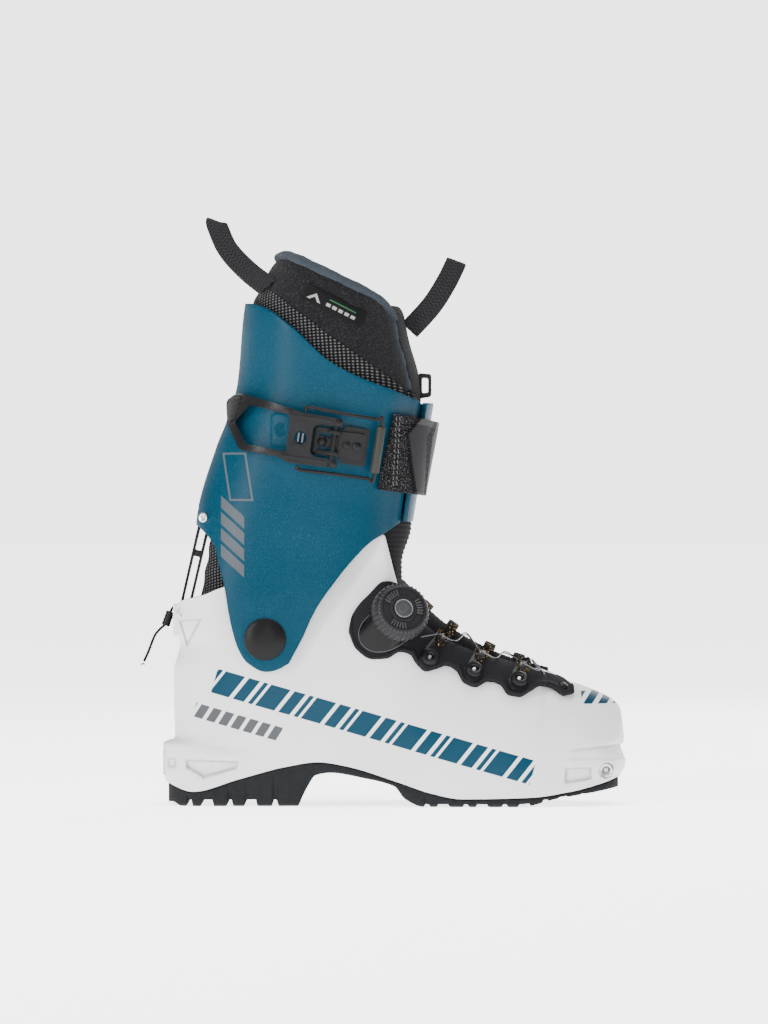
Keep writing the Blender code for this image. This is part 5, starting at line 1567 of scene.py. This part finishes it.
def strap():
    made = Finish("loop_pile", Roughness=0.98, Sheen_Weight=0.03, Sheen_Roughness=0.6)
    whole, u, v = made.surface()
    fuzz = made.noise(whole, 0.9, 6.0, 0.75)
    curls = made.cells(whole, 1.3)
    light = fuzz.above(0.57, 0.05) * 0.9
    colour = made.blend(light, (0.003, 0.003, 0.0035), (0.10, 0.10, 0.105))
    pile = made.finish(colour, height=fuzz * 0.6 + curls * 0.4, depth=0.9 * MM)

    def tufts(turn, share):
        return 0.25 * MM * (math.sin(turn * 431 + share * 97) + math.sin(turn * 173 - share * 251)) / 2

    start = turn_at(74.0 * MM, 220 * MM)
    band = wrap(spread(start, math.pi * 2 - 1.9, 200), STRAP_LOW, STRAP_HIGH, -2.6 * MM, 2.2 * MM, 50, tufts)
    piece("strap_pile", band, pile, "cuff", ("strap_band",), "webbing", sharp=60)
    seam = merge(*[
        rod(cuff_point(turn_at(x * MM, z * MM), z * MM, -4.9 * MM),
            cuff_point(turn_at((x - 0.35) * MM, (z + 2) * MM), (z + 2) * MM, -4.9 * MM), 0.3 * MM, 6)
        for x0 in (77, 79) for k in range(13) for x, z in ((x0 - (k - 6) * -0.2, 199 + k * 3.3),)
    ])
    thread = woven("strap_thread", (0.05, 0.05, 0.05), (0.11, 0.11, 0.11), 0.3, 0.05, uv=False)
    piece("strap_seam", seam, thread, "cuff", slot="webbing")

    smooth = Finish("tab_coating", Roughness=0.5)
    whole, u, v = smooth.surface()
    grain = smooth.noise(whole, 1.5, 4.0)
    near_edge = v.below(1.4, 0.8) + v.above(44.6, 0.8)
    hooks = u.above(16, 1.2) * u.below(23, 1.2)
    rough_hooks = hooks * smooth.noise(whole, 2.0, 5.0, 0.8).above(0.5, 0.1)
    colour = smooth.blend(grain, (0.009, 0.009, 0.010), (0.016, 0.016, 0.018))
    colour = smooth.blend(near_edge * 0.5, colour, (0.055, 0.055, 0.055))
    colour = smooth.blend(rough_hooks * 0.55, colour, (0.04, 0.04, 0.042))
    coated = smooth.finish(colour, rough_hooks * 0.4 + grain * 0.2 + 0.38, height=rough_hooks * 0.8 + grain * 0.2,
                           depth=0.35 * MM)
    rows = 56
    end = math.pi + 0.35
    tops, unders = [], []
    for share in spread(0, 1, 90):
        row_top, row_under = [], []
        for k in range(rows + 1):
            height = k / rows
            start_x = tab_rear_edge(height) * MM
            pinking = 0.35 * MM * (1 if k % 2 else -1) * (1 - smoothstep(0.0, 0.03, share))
            start = turn_at(start_x, 220 * MM)
            turn = mix(start, end, share) + pinking / (50 * MM)
            z = mix(edge_height(turn, STRAP_LOW, -5.4 * MM), edge_height(turn, STRAP_HIGH, -5.4 * MM), height)
            row_top.append(cuff_point(turn, z, -5.5 * MM))
            row_under.append(cuff_point(turn, z, -3.9 * MM))
        tops.append(row_top)
        unders.append(row_under)
    piece("strap_end", grid_solid(tops, unders), coated, "cuff", ("strap_tab",), "webbing", sharp=50)
    anchor = cuff_point(math.pi * 2 - 2.0, 222 * MM, -3.9 * MM)
    head = [(0, 1.8), (1.8, 1.7), (3.6, 1.2), (4.6, 0.5), (4.6, -0.4), (0, -0.4)]
    turned("strap_rivet", head, anchor, (0.25, 1, 0), STEEL, "cuff", ("strap_anchor",), "steel")


strap()


# ================================================================ walk lock
# The black ladder bar hinged inside the cuff's rear: its foot catches the shell's ears in ski mode, and the
# cord's toggle swings it out to walk.
def lock_bar():
    top, bottom = Vector((-37.9, 0, 178.8)), Vector((-52.2, 0, 117.0))
    along = (bottom - top).normalized()
    across = Vector((-along.z, 0, along.x))
    length = (bottom - top).length

    def at(run, side):
        place = top + along * run + across * side
        return place.x, place.z

    outline = [at(-3.6, -2), at(-3.6, 2), at(0, 3.6), at(length, 3.4), at(length, -3.4), at(0, -3.6)]
    upper = [at(7, -1.9), at(7, 1.9), at(21, 1.9), at(21, -1.9)]
    lower = [at(25, -1.9), at(25, 1.9), at(length - 9, 1.9), at(length - 9, -1.9)]
    bm = plate(rounded(outline, 1.2), 11, [rounded(upper, 0.8), rounded(lower, 0.8)])
    piece("lock_ladder", bm, BLACK_PLASTIC, "lock_bar", ("lock_bar",), "black_plastic", bevel=0.6 * MM)
    start, end = Vector((-60.0, 0, 120.0)) * MM, Vector((-63.2, 0, 111.3)) * MM
    run = (end - start).normalized()
    fray = merge(*[
        rod(CORD_ROUTE[-1] - Vector((0, 0, 1)) * MM,
            CORD_ROUTE[-1] + Vector((
                math.cos(k) * 1.5 - 1.0, math.sin(k * 2.1) * 1.5, -2.0 + 0.5 * math.sin(k * 3),
            )) * MM,
            0.16 * MM, 5) for k in range(9)
    ])
    piece("cord_fray", fray, bpy.data.materials["cord_braid"], "lock_bar", slot="cord")
    barrel = merge(
        rod(start, end, 2.45 * MM, 40), *[
            rod(mix(start, end, s) - run * 0.6 * MM, mix(start, end, s) + run * 0.6 * MM, 2.65 * MM, 40)
            for s in (0.12, 0.37, 0.62, 0.87)
        ]
    )
    piece("toggle_barrel", barrel, BLACK_PLASTIC, "lock_bar", ("cord_toggle",), "black_plastic")


lock_bar()


# ================================================================ liner
# The padded inner boot: a black mesh and felt shaft with a blue-grey trim, a tongue at the front, a soft
# ankle modelled with small folds, and a closed-toe foot inside the shell.
LINER_ANKLE = 126.5 * MM
LINER_CUFF = 186.5 * MM
COLLAR_FOOT = 256 * MM
LINER_ROOF = through([
    (64, 126.5), (78, 118), (90, 108), (100, 98), (132, 81), (160, 73), (190, 64), (206, 52),
])
LINER_EDGE = through([
    (-6, 336), (7.4, 340.6), (12, 343), (17.7, 341.3), (30, 335.5), (47.6, 326.9), (70.3, 314.4), (79, 304),
    (86, 294), (90, 286), (92.5, 279), (94.5, 268), (97, 250),
])


def liner_finish():
    """Light-flecked mesh low down, dark felt above a seam line that falls towards the front."""
    made = Finish("liner_mesh_felt", Roughness=0.95, Sheen_Weight=0.03, Sheen_Roughness=0.6)
    whole, x, y, z = made.place()
    line = z - 324.7 + (x + 2.8) * 0.80 - (x * x) * 0.0008
    upper = line.above(0, 0.6)
    stripe_a = ((x * 0.8 + z * 1.2) * 1.45).sine()
    stripe_b = ((z * 1.1 - x * 0.9 + y * 0.6) * 1.45).sine()
    dots = (stripe_a * stripe_b).above(0.30, 0.3)
    speck = made.noise(whole, 0.9, 3.0)
    mesh_colour = made.blend(dots * (speck * 0.9 + 0.1), (0.0035, 0.0035, 0.004), (0.12, 0.12, 0.123))
    fuzz = made.noise(whole, 1.4, 5.0, 0.7)
    felt_colour = made.blend(fuzz, (0.0025, 0.0025, 0.003), (0.008, 0.008, 0.009))
    felt_colour = made.blend(fuzz.above(0.60, 0.10), felt_colour, (0.035, 0.035, 0.038))
    colour = made.blend(upper, mesh_colour, felt_colour)
    seam = 1 - (line / 0.9).abs().above(0.5, 0.5)
    colour = made.blend(seam * 0.8, colour, (0.002, 0.002, 0.002))
    height = (dots * (1 - upper) + fuzz * 0.5) * (1 - seam)
    return made.finish(colour, height=height, depth=0.5 * MM)


def collar_finish():
    made = Finish("collar_velour", Roughness=0.95, Sheen_Weight=0.06, Sheen_Roughness=0.5)
    whole, *_ = made.place()
    fuzz = made.noise(whole, 0.9, 6.0, 0.7)
    cloud = made.noise(whole, 0.08, 2.0)
    colour = made.blend(fuzz * 0.6 + cloud * 0.4, (0.011, 0.0145, 0.019), (0.034, 0.043, 0.054))
    return made.finish(colour, height=fuzz, depth=0.5 * MM)


LINER_CLOTH = liner_finish()
COLLAR_CLOTH = collar_finish()


def pad_profile(share):
    """How a padded wall's thickness rounds off near its edges, share running across it."""
    edge = min(share, 1 - share) / 0.06
    return math.sqrt(max(0.0, 1 - (1 - min(1.0, edge)) ** 2))


def padded_wrap(turns, low, high, inset, wall, rows, quilt=0.0):
    tops, unders = [], []
    count = len(turns) - 1
    for number, turn in enumerate(turns):
        depth = inset(turn)
        bottom, top = edge_height(turn, low, depth), edge_height(turn, high, depth)
        row_top, row_under = [], []
        for k in range(rows + 1):
            share = 0.5 - math.cos(math.pi * k / rows) / 2
            z = mix(bottom, top, share)
            full = pad_profile(share) * pad_profile(number / count)
            puff = quilt * math.sin(math.pi * share)
            row_top.append(cuff_point(turn, z, depth + wall / 2 * (1 - full) - puff))
            row_under.append(cuff_point(turn, z, depth + wall / 2 * (1 + full) + puff))
        tops.append(row_top)
        unders.append(row_under)
    return grid_solid(tops, unders)


def shaft_inset(turn):
    return 4.8 * MM + 3.4 * MM * smoothstep(1.75, 2.3, abs(turn))


def liner_shaft():
    end = math.pi - 0.50
    bm = padded_wrap(spread(end, -end, 150), lambda x: LINER_CUFF, LINER_EDGE, shaft_inset, 7 * MM, 60)
    shaft = piece("liner_shaft_pad", bm, LINER_CLOTH, "cuff", ("liner_shaft",), "liner_felt", sharp=80)
    depth = shaft_inset(end) + 3.5 * MM
    corner = edge_height(end, LINER_EDGE, depth) - 4 * MM
    down = [cuff_point(end, z, depth) for z in spread(COLLAR_FOOT, corner, 30)]
    path = list(down)
    for turn in spread(end - 0.06, -end + 0.06, 130):
        depth = shaft_inset(turn) + 3.5 * MM
        path.append(cuff_point(turn, edge_height(turn, LINER_EDGE, depth) - 1.2 * MM, depth))
    path += [Vector((p.x, -p.y, p.z)) for p in reversed(down)]
    count = len(path) - 1
    rings = []
    for i, place in enumerate(path):
        ahead = (path[min(i + 1, count)] - path[max(i - 1, 0)]).normalized()
        up = (Vector((0, 0, 1)) - ahead * ahead.z).normalized()
        out = ahead.cross(up)
        end_round = math.sqrt(max(0.02, 1 - (1 - min(1.0, min(i, count - i) / 3)) ** 2))
        lump = 1 + 0.05 * math.sin(i * 0.55) + 0.03 * math.sin(i * 1.7)
        ring = []
        for k in range(24):
            angle = 2 * math.pi * k / 24
            tall = 3.8 if math.sin(angle) < 0 else 2.8
            spoke = out * math.cos(angle) * 4.4 * MM + up * math.sin(angle) * tall * MM
            ring.append(place + spoke * end_round * lump)
        rings.append(ring)
    bm = bmesh.new()
    stitch(bm, rings, cap_first=True, cap_last=True)
    collar = piece("liner_collar", bm, COLLAR_CLOTH, "cuff", slot="liner_felt", sharp=80)


TONGUE_INSET = 8.2 * MM
TONGUE_HALF_TURN = 0.58


def liner_tongue():
    turns = spread(math.pi - TONGUE_HALF_TURN, math.pi + TONGUE_HALF_TURN, 50)
    bm = padded_wrap(
        turns, lambda _: 188 * MM, lambda _: 310.5 * MM, lambda _: TONGUE_INSET, 6.4 * MM, 70, 0.25 * MM,
    )
    tongue = piece("liner_tongue_pad", bm, LINER_CLOTH, "cuff", ("liner_tongue",), "liner_felt", sharp=80)
    block = plate(rounded([(86, 254.5), (96.5, 256), (96.5, 265.5), (86, 267)], 1.2), 14)
    piece("tongue_block", block, LINER_CLOTH, "cuff", slot="liner_felt", bevel=0.6 * MM)
    hook = plate(rounded([(95, 253), (103, 254.2), (103, 268.2), (95, 269)], 1.5), 12,
                 [rounded([(97.2, 256.4), (101, 256.8), (101, 265.8), (97.2, 266)], 1)])
    piece("tongue_buckle_tab", hook, BLACK_PLASTIC, "cuff", ("tongue_tab",), "black_plastic", bevel=0.5 * MM)


def liner_ankle():
    tops, unders = [], []
    for angle in spread(0, 2 * math.pi, 96):
        row_top, row_under = [], []
        for share in spread(0, 1, 40):
            z = mix(LINER_ANKLE - 3 * MM, LINER_CUFF + 4 * MM, share)
            rear, front = mix(-42, -30.5, share) * MM, mix(60, 72, share) * MM
            fold = 0.5 * MM * math.sin(share * 26 + 0.6 * math.cos(angle)) * math.sin(math.pi * share)
            for row, inset in ((row_top, 0.0), (row_under, 5 * MM)):
                reach, width = (front - rear) / 2 - inset + fold, 31 * MM - inset + fold
                middle = (rear + front) / 2
                row.append(Vector((middle + reach * math.cos(angle), width * math.sin(angle), z)))
        tops.append(row_top)
        unders.append(row_under)
    bm = grid_solid(tops, unders)
    ankle = piece(
        "liner_ankle_pad", bm, LINER_CLOTH, None, ("liner_flex_zone",), "liner_felt", sharp=80,
        blend=("shell", "cuff", (0, 0, 0.128), (0, 0, 0.184)),
    )


def round_ends(share):
    heel, toe = min(1.0, share / 0.11), min(1.0, (1 - share) / 0.16)
    return math.sqrt(max(0.0, 1 - (1 - heel) ** 2.4)) * math.sqrt(max(0.0, 1 - (1 - toe) ** 2.4))


def liner_column(k, v, columns, inset):
    share = (1 - math.cos(math.pi * k / columns)) / 2
    x = mix(-45 * MM + inset, 204 * MM - inset, share)
    low = SOLE_LINE(x) + 10.5 * MM + inset
    closed = smoothstep(62 * MM, 74 * MM, x)
    z = mix(low, LINER_ROOF(x) - inset * closed, v)
    arch = math.sqrt(max(0.0, 1 - v ** 2.6))
    width = mix(BASE_WIDTH(x) - 6.5 * MM, 32 * MM, min(1.0, v * 1.6) * (1 - smoothstep(40 * MM, 90 * MM, x)))
    width = mix(width, width * arch, closed)
    return x, z, max(0.0, width - inset) * round_ends(share) if 0 < k < columns else 0.0


def liner_foot():
    columns, rows = 110, 40
    bm = bmesh.new()
    tops = []
    for inset in (0.0, 5 * MM):
        rings = []
        for row in range(rows + 1):
            v = 1 - (1 - row / rows) ** 1.6
            places = [liner_column(k, v, columns, inset) for k in range(columns + 1)]
            rings.append(ring_of([(x, width, z) for x, z, width in places]))
        stitch(bm, rings, cap_first=True)
        tops.append(rings[-1])
    outer = [bm.verts.new(p) for p in tops[0]]
    inner = [bm.verts.new(p) for p in tops[1]]
    for k in range(len(outer)):
        m = (k + 1) % len(outer)
        if max(abs(tops[0][k].y), abs(tops[0][m].y)) > 0.01 * MM or tops[0][k].x < 0:
            bm.faces.new((outer[k], outer[m], inner[m], inner[k]))
    foot = piece("liner_foot_pad", bm, LINER_CLOTH, "shell", ("liner_foot",), "liner_felt", sharp=80)


def label():
    """A small woven label with a plain frame and bars, stitched to the shaft's outer side."""
    lean = math.radians(-27)
    centre_x, centre_z = 42.8, 309.7
    corners = rounded([(-20, -5.5), (20, -5.5), (20, 5.5), (-20, 5.5)], 1.5)

    def turned_place(u, v):
        return (centre_x + u * math.cos(lean) - v * math.sin(lean),
                centre_z + u * math.sin(lean) + v * math.cos(lean))

    def on_liner(x, z, lift):
        x, z = x * MM, z * MM
        inset = 4.8 * MM
        for _ in range(4):
            turn = liner_turn(x, z, inset)
            inset = shaft_inset(turn)
        return cuff_point(liner_turn(x, z, inset), z, inset - lift * MM)

    def liner_turn(x, z, inset):
        low, high = 0.3, math.pi
        for _ in range(24):
            middle = (low + high) / 2
            if cuff_point(middle, z, inset).x < x:
                low = middle
            else:
                high = middle
        return low

    made = Finish("label_satin", Roughness=0.6)
    _, x, _, z = made.place()
    along = (x - centre_x) * math.cos(lean) + (z - centre_z) * math.sin(lean)
    across = (z - centre_z) * math.cos(lean) - (x - centre_x) * math.sin(lean)
    weave = (along * 8).sine() * (across * 8).sine() * 0.5 + 0.5
    bars = printed_bars(along + 30, across, 4.2, ((0, 2.9),), 0.0) * along.within(-6, 15, 0.2)
    bars = bars * across.within(-2.6, -0.6, 0.2)
    chevron = (along + 13).abs() + across
    mark = chevron.within(-0.6, 1.6, 0.2) * across.within(-3.2, 3.4, 0.2)
    line = across.within(1.4, 2.2, 0.2) * along.within(-4, 14, 0.2)
    colour = made.blend(weave * 0.3, (0.003, 0.003, 0.0035), (0.009, 0.009, 0.010))
    colour = made.blend(bars + mark, colour, (0.20, 0.20, 0.20))
    colour = made.blend(line, colour, (0.02, 0.07, 0.03))
    satin = made.finish(colour, height=weave, depth=0.05 * MM)
    bm = surface_pad(on_liner, [turned_place(*p) for p in denser(corners)], 0.15, 0.8)
    piece("liner_label", bm, satin, "cuff", slot="webbing", sharp=50)


liner_shaft()
liner_tongue()
liner_ankle()
liner_foot()
label()


# ================================================================ pull loops
# Stout black webbing loops to haul the boot on: one at the liner's heel, one on its tongue.
def webbing_finish():
    made = Finish("webbing_weave", Roughness=0.8, Sheen_Weight=0.03, Sheen_Roughness=0.5)
    whole, u, v = made.surface()
    chevrons = ((u * 2.6 + ((v * 1.15).sine()) * 2.2).sine()) * 0.5 + 0.5
    threads = (v * 7.5).sine() * 0.5 + 0.5
    weave = chevrons * 0.65 + threads * 0.35
    fuzz = made.noise(whole, 1.5, 4.0)
    colour = made.blend(weave * 0.7 + fuzz * 0.3, (0.0025, 0.0025, 0.003), (0.020, 0.020, 0.022))
    return made.finish(colour, fuzz * 0.2 + 0.7, height=weave, depth=0.32 * MM)


def strap_band_mesh(path, width, thickness):
    """A strip of webbing along a path that is mirrored in Y, its width lying in the boot's side plane."""
    path = path + [Vector((p.x, -p.y, p.z)) for p in reversed(path[:-1])]
    path = smooth_path(path, 12)
    tops, unders = [], []
    shares = (-1.0, -0.93, -0.8, -0.5, 0.0, 0.5, 0.8, 0.93, 1.0)
    for i, place in enumerate(path):
        ahead = (path[min(i + 1, len(path) - 1)] - path[max(i - 1, 0)]).normalized()
        side_run = Vector((ahead.x, 0, ahead.z))
        mirror = 1 if i <= len(path) // 2 else -1
        lean = Vector((-side_run.z, 0, side_run.x)) * mirror
        lean += Vector((-0.9, 0, 0.35)) * (1 - side_run.length)
        across = lean.normalized() * width / 2
        out = ahead.cross(across).normalized() * thickness / 2
        tops.append([place + across * s + out * (1 - 0.7 * abs(s) ** 10) for s in shares])
        unders.append([place + across * s - out * (1 - 0.7 * abs(s) ** 10) for s in shares])
    return grid_solid(tops, unders)


LOOP_WIDTH = 13 * MM
LOOP_THICKNESS = 1.9 * MM


def pull_loops():
    weave = webbing_finish()
    start = cuff_point(0.62, 322 * MM, 2.4 * MM)
    rear = [start] + [Vector(p) * MM for p in (
        (-12, -19, 333), (-24, -14, 346), (-30.5, -7, 360), (-31.5, 0, 363.5),
    )]
    front = [Vector(p) * MM for p in (
        (89.4, -10, 296), (103, -11, 311), (112, -10, 325), (117.5, -5.5, 336), (118.5, 0, 338.5),
    )]
    for word, path in (("rear", rear), ("front", front)):
        bm = strap_band_mesh(path, LOOP_WIDTH, LOOP_THICKNESS)
        piece(f"{word}_webbing_loop", bm, weave, "cuff", (f"{word}_pull_loop",), "webbing", sharp=60)


pull_loops()


# ================================================================ hidden parts
# The boot board and footbed inside, the dial's spool, the studs and the hinge pins keep their made shape.
def carried_over():
    foam = woven("bed_foam", (0.03, 0.03, 0.033), (0.07, 0.07, 0.075), 1.2, 0.2, uv=False)
    finishes = {
        "boot_board": foam, "footbed": LINER_CLOTH, "dial_spool": BLACK_PLASTIC, "lever_pin": DARK_METAL,
        "lock_hinge_pin": STEEL, "ankle_stud_lateral": STEEL, "ankle_stud_medial": STEEL, "heel_insert": STEEL,
    }
    for node, finish in finishes.items():
        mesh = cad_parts[node].data
        mesh.materials.clear()
        mesh.materials.append(finish)


carried_over()
sweep()
